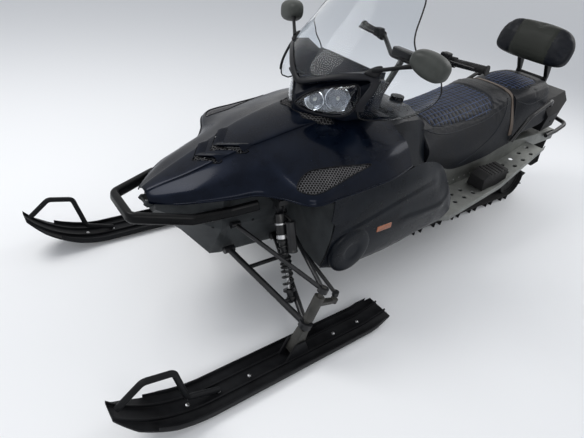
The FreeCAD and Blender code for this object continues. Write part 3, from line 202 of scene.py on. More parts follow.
def cutOpening(piece, outline, axes=(0, 1)):
    # the sheet is split along each side of the outline, then the faces inside it go
    work = bmesh.new()
    work.from_mesh(piece.data)
    first, second = axes
    for (x1, y1), (x2, y2) in zip(outline, outline[1:] + outline[:1]):
        place = Vector((0.0, 0.0, 0.0))
        place[first], place[second] = x1, y1
        across = Vector((0.0, 0.0, 0.0))
        across[first], across[second] = y1 - y2, x2 - x1
        across.normalize()
        low = (min(x1, x2) - 0.003, min(y1, y2) - 0.003)
        high = (max(x1, x2) + 0.003, max(y1, y2) + 0.003)
        faces = [face for face in work.faces if faceMeets(face, axes, low, high)]
        around = set(faces)
        for face in faces:
            around.update(face.edges)
            around.update(face.verts)
        bmesh.ops.bisect_plane(work, geom=list(around), plane_co=place, plane_no=across, dist=1e-6)
    low = [min(p[k] for p in outline) - 0.002 for k in (0, 1)]
    high = [max(p[k] for p in outline) + 0.002 for k in (0, 1)]
    gone = []
    for face in work.faces:
        if faceMeets(face, axes, low, high):
            middle = face.calc_center_median()
            if insideOutline(middle[first], middle[second], outline):
                gone.append(face)
    bmesh.ops.delete(work, geom=gone, context="FACES")
    work.to_mesh(piece.data)
    work.free()
    piece.data.update()


def roundBar(name, points, radius, steps=8, sides=16, closed=False, caps=True):
    # bar of one radius, or of a list of radii, along a smooth line
    line = smoothLine(points, steps, closed) if steps > 1 else np.asarray(points, float)
    count = len(line)
    radii = np.full(count, radius) if np.isscalar(radius) else np.interp(
        np.linspace(0, 1, count), np.linspace(0, 1, len(radius)), radius)
    tangents = np.gradient(line, axis=0)
    if closed:
        tangents = np.roll(line, -1, axis=0) - np.roll(line, 1, axis=0)
    tangents /= np.linalg.norm(tangents, axis=1)[:, None] + 1e-12
    side = np.cross(tangents[0], (0.0, 0.0, 1.0))
    if np.linalg.norm(side) < 0.1:
        side = np.cross(tangents[0], (0.0, 1.0, 0.0))
    rings = []
    for k in range(count):
        side = side - tangents[k] * np.dot(side, tangents[k])
        side /= np.linalg.norm(side)
        up = np.cross(tangents[k], side)
        angles = np.linspace(0, 2 * math.pi, sides, endpoint=False)
        rings.append([line[k] + radii[k] * (math.cos(a) * side + math.sin(a) * up) for a in angles])
    grid = np.array(rings)
    if closed:
        grid = np.vstack([grid, grid[:1]])
    piece = gridPiece(name, grid, closedAcross=True)
    if caps and not closed:
        work = bmesh.new()
        work.from_mesh(piece.data)
        work.verts.ensure_lookup_table()
        for start in (0, (count - 1) * sides):
            work.faces.new([work.verts[start + j] for j in range(sides)])
        bmesh.ops.recalc_face_normals(work, faces=work.faces)
        work.to_mesh(piece.data)
        work.free()
    shadeByAngle(piece, 50.0)
    return piece


def lathePiece(name, profile, start, axis, sides=32):
    # profile: radius and distance along the axis
    axis = np.asarray(axis, float) / np.linalg.norm(axis)
    side = np.cross(axis, (0.0, 0.0, 1.0))
    if np.linalg.norm(side) < 0.1:
        side = np.cross(axis, (0.0, 1.0, 0.0))
    side /= np.linalg.norm(side)
    up = np.cross(axis, side)
    grid = []
    for radius, along in profile:
        ring = []
        for k in range(sides):
            angle = 2 * math.pi * k / sides
            ring.append(np.asarray(start) + axis * along
                        + max(radius, 1e-5) * (math.cos(angle) * side + math.sin(angle) * up))
        grid.append(ring)
    piece = gridPiece(name, np.array(grid), closedAcross=True)
    weld(piece, 2e-5)
    shadeByAngle(piece, 40.0)
    return piece


def rounded(node, width):
    # the node's own shape with its hard edges rounded
    mesh = nodes[node].data.copy()
    piece = bpy.data.objects.new(node + "_rounded", mesh)
    bpy.context.scene.collection.objects.link(piece)
    work = bmesh.new()
    work.from_mesh(mesh)
    bmesh.ops.remove_doubles(work, verts=work.verts, dist=2e-5)
    bmesh.ops.dissolve_limit(work, angle_limit=math.radians(1.0), verts=work.verts, edges=work.edges)
    work.to_mesh(mesh)
    work.free()
    addModifier(piece, "BEVEL", width=width, segments=3, limit_method="ANGLE",
                angle_limit=math.radians(25.0), use_clamp_overlap=True, miter_outer="MITER_ARC")
    bake(piece)
    shadeByAngle(piece, 30.0)
    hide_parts(node)
    return piece


def linearFromHex(code):
    values = []
    for i in (1, 3, 5):
        c = int(code[i:i + 2], 16) / 255.0
        values.append(c / 12.92 if c <= 0.04045 else ((c + 0.055) / 1.055) ** 2.4)
    return (*values, 1.0)


def addNode(tree, kind, settings=None, links=None):
    # settings are attributes or input values; links feed inputs from other nodes
    node = tree.nodes.new(kind)
    for key, value in (settings or {}).items():
        if isinstance(key, str) and hasattr(node, key):
            setattr(node, key, value)
        else:
            node.inputs[key].default_value = value
    for key, source in (links or {}).items():
        tree.links.new(source, node.inputs[key])
    return node


def newMaterial(name, **shaderValues):
    material = bpy.data.materials.new(name)
    material.use_nodes = True
    tree = material.node_tree
    shader = tree.nodes["Principled BSDF"]
    for key, value in shaderValues.items():
        shader.inputs[key].default_value = value
    place = addNode(tree, "ShaderNodeTexCoord").outputs["Object"]
    return material, tree, shader, place


def colour(tree, shader, factor, low, high):
    mix = addNode(tree, "ShaderNodeMix", {"data_type": "RGBA"})
    mix.inputs[6].default_value = linearFromHex(low)
    mix.inputs[7].default_value = linearFromHex(high)
    tree.links.new(factor, mix.inputs[0])
    tree.links.new(mix.outputs[2], shader.inputs["Base Color"])


def spread(tree, source, low, high, fromLow=0.3, fromHigh=0.7):
    settings = {"From Min": fromLow, "From Max": fromHigh, "To Min": low, "To Max": high}
    return addNode(tree, "ShaderNodeMapRange", settings, {"Value": source}).outputs["Result"]


def noise(tree, place, scale, detail, roughness=0.5):
    settings = {"Scale": scale, "Detail": detail, "Roughness": roughness}
    return addNode(tree, "ShaderNodeTexNoise", settings, {"Vector": place}).outputs["Fac"]


def stretched(tree, place, scale):
    return addNode(tree, "ShaderNodeMapping", {"Scale": scale}, {"Vector": place}).outputs["Vector"]


def texture(tree, shader, rough, strength, depth, height):
    # roughness and bump from other nodes' outputs
    bump = addNode(tree, "ShaderNodeBump", {"Strength": strength, "Distance": depth}, {"Height": height})
    tree.links.new(rough, shader.inputs["Roughness"])
    tree.links.new(bump.outputs["Normal"], shader.inputs["Normal"])


def dress(piece, material, body):
    piece.data.materials.clear()
    piece.data.materials.append(material)
    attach(piece, body)


def dressPair(piece, rightName, material, body):
    # the piece on the left and its mirror image on the right
    twin = mirrorPiece(piece, rightName)
    dress(piece, material, body)
    dress(twin, material, body)
    return twin


def paintNode(name, material):
    node = nodes[name]
    for place in node.material_slots:
        place.material = material
    if not node.material_slots:
        node.data.materials.append(material)


# camera at the photograph's standpoint

cameraValues = {
    "place": (1.807, 1.385, 1.466),
    "heading": 227.847,
    "downward": 33.527,
    "roll": 10.138,
    "lens": 28.05,
}


def setCamera(values):
    heading = math.radians(values["heading"])
    down = math.radians(values["downward"])
    roll = math.radians(values["roll"])
    ahead = Vector((math.cos(heading) * math.cos(down), math.sin(heading) * math.cos(down), -math.sin(down)))
    level = Vector((math.sin(heading), -math.cos(heading), 0.0))
    above = level.cross(ahead)
    right = level * math.cos(roll) + above * math.sin(roll)
    up = above * math.cos(roll) - level * math.sin(roll)
    data = bpy.data.cameras.new("camera")
    data.sensor_width = 36.0
    data.sensor_fit = "HORIZONTAL"
    data.lens = values["lens"]
    data.clip_start = 0.05
    camera = bpy.data.objects.new("camera", data)
    turn = Matrix((right, up, -ahead)).transposed().to_4x4()
    camera.matrix_world = Matrix.Translation(values["place"]) @ turn
    bpy.context.scene.collection.objects.link(camera)
    bpy.context.scene.camera = camera


setCamera(cameraValues)


# studio: pale floor, soft lamps, white behind

studioValues = {
    "floorSize": 240.0,
    "floorLevel": -0.0005,
    "floorTone": "#ededed",
    "worldStrength": 0.6,
    "worldTone": "#eef3fb",
    # name, place, aim, width, height, watts
    "lamps": [
        ("keyLamp", (2.4, -1.6, 3.6), (0.2, 0.0, 0.5), 1.8, 1.8, 84.0),
        ("fillLamp", (2.6, 3.2, 2.4), (0.2, 0.0, 0.5), 2.4, 1.2, 34.0),
        ("rearLamp", (-3.2, 0.6, 3.0), (-0.4, 0.0, 0.6), 2.6, 1.4, 48.0),
    ],
}


def setStudio(values):
    scene = bpy.context.scene
    scene.view_settings.view_transform = "Standard"
    world = bpy.data.worlds.new("world")
    world.use_nodes = True
    scene.world = world
    tree = world.node_tree
    tree.nodes.clear()
    light = addNode(tree, "ShaderNodeBackground", {"Color": linearFromHex(values["worldTone"]),
                                                   "Strength": values["worldStrength"]})
    white = addNode(tree, "ShaderNodeBackground", {"Color": (1.0, 1.0, 1.0, 1.0), "Strength": 1.0})
    ray = addNode(tree, "ShaderNodeLightPath")
    seen = addNode(tree, "ShaderNodeMath", {"operation": "MAXIMUM"},
                   {0: ray.outputs["Is Camera Ray"], 1: ray.outputs["Is Transmission Ray"]})
    seenAll = addNode(tree, "ShaderNodeMath", {"operation": "MAXIMUM"},
                      {0: seen.outputs[0], 1: ray.outputs["Is Glossy Ray"]})
    mix = addNode(tree, "ShaderNodeMixShader", {}, {0: seenAll.outputs[0], 1: light.outputs[0],
                                                    2: white.outputs[0]})
    addNode(tree, "ShaderNodeOutputWorld", {}, {"Surface": mix.outputs[0]})
    half = values["floorSize"] / 2.0
    corners = [(-half, -half), (half, -half), (half, half), (-half, half)]
    floor = newMesh("studioFloor", [(x, y, values["floorLevel"]) for x, y in corners], [(0, 1, 2, 3)])
    material, _, shader, _ = newMaterial("paleFloorPaper", Roughness=0.9)
    shader.inputs["Base Color"].default_value = linearFromHex(values["floorTone"])
    floor.data.materials.append(material)
    for name, where, aim, width, height, watts in values["lamps"]:
        data = bpy.data.lights.new(name, "AREA")
        data.shape = "RECTANGLE"
        data.size = width
        data.size_y = height
        data.energy = watts
        lamp = bpy.data.objects.new(name, data)
        lamp.location = where
        lamp.rotation_euler = (Vector(aim) - Vector(where)).to_track_quat("-Z", "Y").to_euler()
        scene.collection.objects.link(lamp)


setStudio(studioValues)
print("camera and studio set")


# materials, named for what the real ones are

def sprayedEnamel():
    # clear-coated black-blue enamel on a moulded hood: a deep colour under a wet gloss, a little road film
    material, tree, shader, place = newMaterial("sprayedEnamel", **{
        "IOR": 1.5, "Specular IOR Level": 0.08,
        "Coat Weight": 0.16, "Coat Roughness": 0.11, "Coat IOR": 1.45})
    shader.inputs["Specular Tint"].default_value = linearFromHex("#7d97d6")
    film = noise(tree, place, 9.0, 6.0, 0.62)
    # orange peel about 3 mm across
    peel = noise(tree, place, 330.0, 1.0)
    colour(tree, shader, spread(tree, film, 0.0, 1.0, 0.42, 0.78), "#02050d", "#0a101b")
    texture(tree, shader, spread(tree, film, 0.2, 0.38), 0.02, 0.0004, peel)
    return material


def mouldedPlastic(name, low, high, roughLow, roughHigh, grain, depth, scuffs=0.0):
    # injection-moulded plastic with a spark-eroded grain: even, slightly cloudy, dull at glancing angles
    material, tree, shader, place = newMaterial(name, **{"IOR": 1.5, "Specular IOR Level": 0.1})
    cloud = noise(tree, place, 7.0, 7.0, 0.66)
    # the grain is a few tenths of a millimetre; it is drawn coarser so that it shows
    height = noise(tree, place, 1.0 / (grain * mm), 2.0)
    if scuffs:
        lines = noise(tree, stretched(tree, place, (6.0, 60.0, 90.0)), 3.0, 8.0, 0.75)
        marks = spread(tree, lines, 0.0, scuffs, 0.6, 0.74)
        height = addNode(tree, "ShaderNodeMath", {"operation": "SUBTRACT"}, {0: height, 1: marks}).outputs[0]
    colour(tree, shader, spread(tree, cloud, 0.0, 1.0), low, high)
    texture(tree, shader, spread(tree, cloud, roughLow, roughHigh), 0.5, depth, height)
    return material


def powderCoat(name, low, high, rough):
    # baked powder on steel: satin, faintly pebbled
    material, tree, shader, place = newMaterial(name, **{
        "Specular IOR Level": 0.25, "Coat Weight": 0.15, "Coat Roughness": 0.25})
    cloud = noise(tree, place, 22.0, 5.0)
    colour(tree, shader, spread(tree, cloud, 0.0, 1.0), low, high)
    pebble = noise(tree, place, 700.0, 1.0)
    texture(tree, shader, spread(tree, cloud, rough, rough + 0.16), 0.25, 0.0002, pebble)
    return material


def bareMetal(name, low, high, rough, brush=(4.0, 220.0, 220.0), dents=0.0):
    # mill, plated or cast metal with a directional or pitted surface and dull patches
    material, tree, shader, place = newMaterial(name, Metallic=1.0)
    strokes = noise(tree, stretched(tree, place, brush), 4.0, 6.0, 0.6)
    stain = noise(tree, place, 6.0, 6.0, 0.65)
    height = strokes
    if dents:
        height = addNode(tree, "ShaderNodeMath", {"operation": "MULTIPLY_ADD", 1: dents},
                         {0: noise(tree, place, 260.0, 3.0), 2: strokes}).outputs[0]
    colour(tree, shader, spread(tree, stain, 0.0, 1.0), low, high)
    texture(tree, shader, spread(tree, strokes, rough, rough + 0.2), 0.3, 0.0003, height)
    return material


def rubber(name, low, high, rough, pebble):
    # vulcanised rubber: dead black with a dusty bloom, softly pebbled
    material, tree, shader, place = newMaterial(name, **{"IOR": 1.45, "Specular IOR Level": 0.35})
    bloom = noise(tree, place, 14.0, 8.0, 0.7)
    lumps = addNode(tree, "ShaderNodeTexVoronoi", {"Scale": 1.0 / (pebble * mm)}, {"Vector": place})
    colour(tree, shader, spread(tree, bloom, 0.0, 1.0), low, high)
    texture(tree, shader, spread(tree, bloom, rough, 0.95), 0.35, 0.0003, lumps.outputs["Distance"])
    return material


def seatVinyl(name, low, high, grain=2.6, depth=0.0003):
    # coated fabric with an embossed hide grain: soft sheen along the crowns, greyer where it is rubbed
    material, tree, shader, place = newMaterial(name, **{
        "IOR": 1.48, "Specular IOR Level": 0.13, "Coat Weight": 0.05, "Coat Roughness": 0.32})
    rub = noise(tree, place, 5.0, 7.0, 0.6)
    # hide cells are about 1 mm; drawn at grain mm so that they show
    settings = {"Scale": 1.0 / (grain * mm), "feature": "DISTANCE_TO_EDGE"}
    cells = addNode(tree, "ShaderNodeTexVoronoi", settings, {"Vector": place})
    colour(tree, shader, spread(tree, rub, 0.0, 1.0), low, high)
    creases = spread(tree, cells.outputs["Distance"], 0.0, 1.0, 0.0, 0.14)
    texture(tree, shader, spread(tree, rub, 0.38, 0.56), 0.4, depth, creases)
    return material


def clearSheet(name, tone, rough, ior, weight=1.0, coat=0.3):
    # clear polycarbonate or frosted glass: hazed by fine wiping marks, faintly rippled
    material, tree, shader, place = newMaterial(name, **{
        "Transmission Weight": weight, "IOR": ior, "Coat Weight": coat, "Coat Roughness": 0.02})
    shader.inputs["Base Color"].default_value = linearFromHex(tone)
    haze = noise(tree, place, 6.0, 9.0, 0.7)
    ripple = noise(tree, place, 9.0, 1.0)
    texture(tree, shader, spread(tree, haze, rough, rough + 0.07, 0.45, 0.75), 0.05, 0.002, ripple)
    return material


def prismLens(name, low, high, cell):
    # moulded lens with small prisms behind a smooth face
    material, tree, shader, place = newMaterial(name, **{
        "Coat Weight": 0.5, "Coat Roughness": 0.05, "IOR": 1.5})
    settings = {"Scale": 1.0 / (cell * mm), "distance": "CHEBYCHEV", "Randomness": 0.0}
    prisms = addNode(tree, "ShaderNodeTexVoronoi", settings, {"Vector": place}).outputs["Distance"]
    colour(tree, shader, spread(tree, prisms, 0.0, 1.0, 0.1, 0.6), low, high)
    texture(tree, shader, spread(tree, prisms, 0.12, 0.4, 0.0, 0.6), 0.5, 0.0008, prisms)
    return material


hoodEnamel = sprayedEnamel()
panelAbs = mouldedPlastic("panelAbs", "#0a0d12", "#161a20", 0.2, 0.38, 1.4, 0.00015, 0.5)
panAbs = mouldedPlastic("panPolypropylene", "#292b2c", "#404345", 0.28, 0.46, 2.0, 0.0003, 1.0)
blackAbs = mouldedPlastic("blackAbs", "#0b0b0d", "#17181a", 0.34, 0.52, 1.6, 0.0002, 0.3)
dashAbs = mouldedPlastic("dashAbs", "#0e1014", "#1d2026", 0.5, 0.66, 2.2, 0.0003)
skiPolymer = mouldedPlastic("skiPolyethylene", "#0b0b0d", "#1a1b1d", 0.32, 0.55, 2.4, 0.0003, 1.2)
meshNylon = mouldedPlastic("meshNylon", "#57575a", "#7a7878", 0.4, 0.6, 1.0, 0.0002)
sliderPlastic = mouldedPlastic("sliderPolyethylene", "#131316", "#222226", 0.4, 0.6, 2.0, 0.0002, 0.8)
tubeCoat = powderCoat("blackPowderCoat", "#090a0b", "#16171a", 0.3)
armCoat = powderCoat("armPowderCoat", "#0c0d0f", "#1c1d20", 0.28)
boardAluminium = bareMetal("rolledAluminium", "#5f6160", "#868885", 0.4)
castingPaint = powderCoat("paintedCasting", "#262624", "#3b3a37", 0.4)
runnerSteel = bareMetal("wornSteel", "#77787a", "#a5a6a8", 0.28, (3.0, 300.0, 300.0))
zincSteel = bareMetal("zincPlatedSteel", "#9a9b9e", "#c3c4c6", 0.22, (60.0, 60.0, 60.0))
engineIron = bareMetal("castCrankcase", "#2c2d30", "#48494d", 0.5, (60.0, 60.0, 60.0), 2.0)
trackRubber = rubber("trackRubber", "#0d0d0e", "#1f1f20", 0.62, 3.0)
softRubber = rubber("mouldedRubber", "#0e0e0f", "#1c1c1d", 0.55, 1.6)
blackVinyl = seatVinyl("blackSeatVinyl", "#05070b", "#10131a")
pipingVinyl = seatVinyl("pipingVinyl", "#15171b", "#2a2d33", 2.0, 0.0001)
mattVinyl = seatVinyl("mattBackrestFabric", "#1c1e1b", "#2a2c28", 2.2, 0.0006)
sewingThread = rubber("sewingThread", "#3f5078", "#6576a0", 0.6, 1.2)
strapVinyl = seatVinyl("strapVinyl", "#4a4038", "#665a50", 2.2)
screenClear = clearSheet("clearPolycarbonate", "#f4f7fa", 0.01, 1.12, 1.0, 0.0)
lensClear = clearSheet("lensPolycarbonate", "#f6f9fc", 0.0, 1.2)
frostGlass = clearSheet("frostedQuartz", "#f2f2ee", 0.2, 1.45, 0.4)
trimAbs = mouldedPlastic("trimAbs", "#121316", "#1e1f23", 0.3, 0.46, 1.6, 0.0002)
# near-black sheet under every vent and the grille: painted shade standing in for the dark inside the openings
ventPaintedShade = rubber("ventPaintedShade", "#030304", "#09090a", 0.9, 4.0)
dialPrint = mouldedPlastic("dialPrint", "#c9ccd0", "#e3e5e8", 0.5, 0.6, 1.0, 0.0001)
needlePaint = mouldedPlastic("needlePaint", "#a8321a", "#c9462a", 0.35, 0.45, 1.0, 0.0001)
podAbs = mouldedPlastic("podAbs", "#05080f", "#0d121d", 0.24, 0.4, 1.8, 0.0002)
bumperAbs = mouldedPlastic("bumperAbs", "#070708", "#121315", 0.24, 0.4, 1.8, 0.0002, 0.5)
# the mirror shell is black plastic, but its colour is raised to mid grey as a painted reflection of bright
# sun on it
mirrorAbsPaintedSheen = mouldedPlastic("mirrorAbsPaintedSheen", "#363836", "#4a4c49", 0.34, 0.5, 1.8, 0.0003, 0.2)
amberLens = prismLens("amberAcrylic", "#4e2208", "#a8581e", 4.0)
redLens = prismLens("redAcrylic", "#3a0304", "#8f0c10", 5.0)
chromeFoil = bareMetal("vacuumChrome", "#c9ccd2", "#eef0f3", 0.05, (20.0, 20.0, 20.0))
smokeChrome = bareMetal("smokedChrome", "#5a5d63", "#8b8e94", 0.16, (20.0, 20.0, 20.0))
mirrorFoil = bareMetal("silveredGlass", "#dfe3e6", "#f1f3f5", 0.02, (5.0, 5.0, 5.0))
print("materials made")

nodeMaterials = {
    trackRubber: ["track"],
    sliderPlastic: ["slide_rails", "drive_axle"],
    tubeCoat: ["suspension_arms", "steering_post", "handlebar", "front_frame", "rear_bumper",
               "backrest_bracket", "grab_rails", "tie_rods", "rear_dampers"],
    armCoat: ["lower_arms", "upper_arms"],
    boardAluminium: ["tunnel", "running_board_left", "running_board_right"],
    panAbs: ["belly_pan"],
    blackAbs: ["front_bumper", "tail_cowl", "fuel_cap", "instrument_panel", "hand_levers", "vent_screens"],
    panelAbs: ["side_panel_left", "side_panel_right", "tank_cowl"],
    dashAbs: ["lamp_pod"],
    engineIron: ["engine_block"],
    blackVinyl: ["driver_seat", "passenger_seat", "backrest_pad"],
    hoodEnamel: ["hood"],
    lensClear: ["headlights"],
    screenClear: ["windshield"],
    mirrorFoil: ["mirrors"],
    amberLens: ["side_reflectors"],
    redLens: ["tail_light"],
    softRubber: ["passenger_footrests", "grips", "idler_wheels", "snow_flap"],
    skiPolymer: ["ski_left", "ski_right", "ski_loop_left", "ski_loop_right"],
    castingPaint: ["spindle_left", "spindle_right"],
    runnerSteel: ["wear_bar_left", "wear_bar_right"],
}
for material, names in nodeMaterials.items():
    for name in names:
        paintNode(name, material)
print("frame nodes painted")


# hood: domed middle, shoulders over the side panels, vents

hoodValues = {
    "thickness": 4.0,
    # x, then pairs of y and z from the middle out to the lower edge
    "stations": [
        (1292, (0, 570), (14, 569), (20, 566), (34, 559), (42, 554), (48, 548), (52, 540)),
        (1278, (0, 579), (18, 578), (25, 574), (48, 565), (58, 559), (66, 551), (68, 542)),
        (1225, (0, 603), (30, 601), (38, 595), (80, 584), (100, 573), (112, 563), (116, 556)),
        (1150, (0, 632), (46, 630), (56, 622), (116, 609), (144, 595), (162, 584), (167, 576)),
        (1050, (0, 673), (60, 671), (72, 661), (146, 641), (182, 621), (204, 602), (210, 590)),
        (960, (0, 710), (74, 707), (88, 696), (168, 672), (206, 648), (238, 622), (247, 605)),
        (900, (0, 733), (84, 729), (99, 717), (184, 694), (236, 669), (296, 634), (318, 616)),
        (836, (0, 755), (93, 750), (110, 737), (198, 716), (282, 690), (392, 660), (420, 631)),
        (700, (0, 795), (104, 788), (122, 773), (216, 749), (302, 718), (396, 683), (427, 640)),
        (580, (0, 820), (112, 812), (132, 796), (226, 770), (308, 740), (390, 703), (430, 650)),
        (450, (0, 845), (118, 835), (142, 818), (232, 797), (310, 768), (378, 734), (429, 664)),
        (312, (0, 849), (122, 839), (146, 822), (226, 809), (300, 779), (350, 755), (404, 681)),
    ],
    "acrossSteps": 7,
    "alongSteps": 7,
    "edgeFrom": 14,
    "edgeRadius": 4.0,
    # chevron vents: apex x, leg end x, leg end y, slot width
    "chevrons": [(1100, 1044, 72, 24), (1028, 950, 92, 28)],
    "louvreRise": 15.0,
    "louvreReach": 26.0,
    "louvreTaper": 16.0,
    "leaf": [(862, 342), (830, 314), (782, 303), (736, 313), (680, 330), (612, 352), (540, 377), (612, 384),
             (677, 391), (735, 398), (796, 402), (836, 390)],
    "grille": [(656, 0), (652, 40), (661, 76), (640, 108), (606, 136), (580, 148), (556, 151), (550, 110),
               (550, 0)],
    "meshCell": 6.6,
    "meshWire": 2.6,
    "grilleCell": 8.4,
    "grilleWire": 1.7,
    # the net reaches a little under the opening's edge
    "meshGrow": 1.04,
    "meshDrop": 5.0,
    # depth of the painted shade sheet below each opening
    "shadeSheetDrop": 13.0,
    "rimRadius": 1.7,
}


def stationPoints(station):
    return [(station[0] * mm, y * mm, z * mm) for y, z in station[1:]]


def treeOf(piece):
    work = bmesh.new()
    work.from_mesh(piece.data)
    tree = BVHTree.FromBMesh(work)
    work.free()
    return tree


def dropOn(tree, x, y, lift=0.0):
    # place straight below on a surface, lifted off it; 2 m is above every piece
    hit = tree.ray_cast(Vector((x, y, 2.0)), Vector((0.0, 0.0, -1.0)))
    if hit[0] is None:
        return None
    return hit[0] + hit[1] * lift * (1.0 if hit[1].z > 0 else -1.0)


def chevronOutline(apex, end, reach, width):
    # arrow that points forward, in plan
    return [(apex, 0), (end, reach), (end - width, reach), (apex - width, 0), (end - width, -reach),
            (end, -reach)]


def hexMesh(name, outline, tree, values, lift, bars=True):
    # honeycomb inside an outline in plan, laid on the surface below: open bars, or a closed sheet
    cell = values["meshCell"] * mm
    xs = [p[0] for p in outline]
    ys = [p[1] for p in outline]
    stepX = cell * 1.5
    stepY = cell * math.sqrt(3.0) / 2.0
    work = bmesh.new()
    known = {}

    i = 0
    x = min(xs)
    while x < max(xs) + stepX:
        y = min(ys) + (stepY if i % 2 else 0.0)
        while y < max(ys) + stepY:
            corners = []
            for k in range(6):
                angle = math.pi / 3.0 * k
                cx = x + cell * math.cos(angle)
                cy = y + cell * math.sin(angle)
                key = (round(cx, 5), round(cy, 5))
                if key not in known:
                    place = dropOn(tree, cx, cy, lift)
                    known[key] = work.verts.new(place) if place is not None else None
                corners.append(known[key])
            if all(corners) and insideOutline(x, y, outline):
                work.faces.new(corners)
            y += 2 * stepY
        x += stepX
        i += 1
    loose = [v for v in work.verts if not v.link_faces]
    bmesh.ops.delete(work, geom=loose, context="VERTS")
    mesh = bpy.data.meshes.new(name)
    work.to_mesh(mesh)
    work.free()
    piece = bpy.data.objects.new(name, mesh)
    bpy.context.scene.collection.objects.link(piece)
    if bars:
        addModifier(piece, "WIREFRAME", thickness=values["meshWire"] * mm, use_even_offset=False)
    return bake(piece)


def makeHood(values):
    stations = [stationPoints(s) for s in values["stations"]]
    grid = skinGrid(stations, values["acrossSteps"], values["alongSteps"], mirrored=True)
    hood = gridPiece("hoodShell", grid)
    skinTree = treeOf(hood)
    cuts = [chevronOutline(*c) for c in values["chevrons"]]
    leafLine = [tuple(p) for p in smoothLine(np.array(values["leaf"], float), 5, closed=True)]
    cuts += [leafLine, [(x, -y) for x, y in leafLine][::-1]]
    grille = values["grille"] + [(x, -y) for x, y in values["grille"][-2:0:-1]]
    cuts.append(grille)
    for cut in cuts:
        cutOpening(hood, inMetres(cut))
    addModifier(hood, "SOLIDIFY", thickness=values["thickness"] * mm, offset=-1.0)
    bake(hood)
    shadeByAngle(hood, 32.0)
    dress(hood, hoodEnamel, "hood_group")
    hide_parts("hood", "vent_screens")
    # the skin's lower edge is rolled
    edge = [tuple(p) for p in grid[values["edgeFrom"]:, -1]]
    bead = roundBar("hoodEdgeLeft", edge, values["edgeRadius"] * mm, 1, 12)
    dressPair(bead, "hoodEdgeRight", hoodEnamel, "hood_group")
    drop = -values["meshDrop"] * mm
    grilleNet = {"meshCell": values["grilleCell"], "meshWire": values["grilleWire"]}
    for i, cut in enumerate(cuts):
        net = grilleNet if cut is grille else values
        middle = np.mean(np.array(cut, float), axis=0)
        outline = [tuple(((np.array(p) - middle) * values["meshGrow"] + middle) * mm) for p in cut]
        dress(hexMesh(f"ventMesh{i}", outline, skinTree, net, drop), meshNylon, "hood_group")
        # a closed near-black sheet below each net: painted shade inside the opening
        shadeSheet = hexMesh(f"ventFoam{i}", outline, skinTree, values, -values["shadeSheetDrop"] * mm, bars=False)
        dress(shadeSheet, ventPaintedShade, "hood_group")
        rim = [dropOn(skinTree, x * mm, y * mm, 0.0005) for x, y in cut]
        rim = [tuple(p) for p in rim if p is not None]
        if len(rim) > 4:
            bar = roundBar(f"ventRim{i}", rim, values["rimRadius"] * mm, 3, 8, closed=True)
            dress(bar, blackAbs, "hood_group")
    # raised louvres behind the chevron slots
    for i, (apex, end, reach, width) in enumerate(values["chevrons"]):
        # the louvre starts a little inside its slot and ends behind it
        first = width * 0.62
        length = first + values["louvreReach"]
        line = [(end - width, -reach), (apex - width, 0), (end - width, reach)]
        fine = []
        for (x1, y1), (x2, y2) in zip(line, line[1:]):
            for t in np.linspace(0, 1, 12, endpoint=False):
                fine.append((x1 + (x2 - x1) * t, y1 + (y2 - y1) * t))
        fine.append(line[-1])
        grid = []
        for depth in np.linspace(0.0, 1.0, 7):
            row = []
            for x, y in fine:
                # lower towards the legs' ends
                taper = min(1.0, (reach - abs(y)) / values["louvreTaper"] + 0.12)
                at = dropOn(skinTree, (x + first - depth * length) * mm, y * mm)
                rise = values["louvreRise"] * mm * taper * math.cos(depth * math.pi / 2.0) ** 1.2
                row.append(tuple(at + Vector((0, 0, rise + 0.0006))))
            grid.append(row)
        louvre = gridPiece(f"hoodLouvre{i}", np.array(grid))
        addModifier(louvre, "SOLIDIFY", thickness=0.003, offset=-1.0)
        bake(louvre)
        shadeByAngle(louvre, 60.0)
        dress(louvre, hoodEnamel, "hood_group")


makeHood(hoodValues)
print("hood made")


# side panels: bowed shells with the drive cover's bulge

sideValues = {
    "thickness": 4.0,
    # x, then pairs of y and z from the upper edge down to the tucked lower edge
    "stations": [
        (722, (424, 636), (429, 568), (430, 470), (426, 400), (414, 330), (402, 292)),
        (690, (425, 639), (432, 570), (436, 465), (431, 392), (418, 318), (405, 284)),
        (600, (424, 646), (438, 574), (447, 455), (443, 385), (430, 300), (417, 264)),
        (480, (421, 658), (438, 586), (451, 465), (450, 395), (434, 310), (416, 266)),
        (350, (412, 671), (434, 598), (452, 470), (451, 405), (434, 315), (415, 269)),
        (230, (394, 676), (422, 604), (449, 475), (449, 410), (432, 325), (413, 282)),
        (130, (380, 656), (407, 592), (444, 480), (446, 420), (430, 335), (411, 297)),
        (66, (380, 630), (398, 572), (440, 474), (444, 422), (429, 340), (410, 302)),
        (20, (384, 590), (402, 545), (434, 466), (440, 420), (427, 346), (410, 306)),
        (-18, (410, 514), (420, 488), (433, 448), (438, 412), (425, 350), (409, 310)),
        (-50, (424, 452), (428, 434), (434, 410), (436, 390), (423, 346), (409, 313)),
    ],
    "acrossSteps": 26,
    "alongSteps": 12,
    "cover": {"x": 615, "z": 377, "radius": 106, "foot": 436.0, "out": 459, "hub": 36},
    # the front edge's upper part stands forward: way, reach behind the edge, from and to height
    "tongue": (23.0, 32.0, 522, 540),
    "bolts": [(706, 600), (700, 345), (84, 596), (-24, 380)],
    # radius and height of a fastener's head, round its slot
    "boltProfile": [(10.5, -1.0), (10.5, 1.4), (8.8, 2.6), (4.0, 2.6), (3.4, 1.0), (0, 1.0)],
    # each crease fades out over this length at its ends
    "creaseFade": 60.0,
    # x and z along it, then the step's half width and rise: the face swells out below each line
    "creases": [
        ([(704, 470), (600, 498), (518, 519), (435, 539), (350, 556), (202, 572), (90, 566)], 5.0, 2.4),
        ([(366, 459), (330, 463), (213, 459), (78, 460), (11, 474), (-14, 492)], 6.5, 3.4),
    ],
}


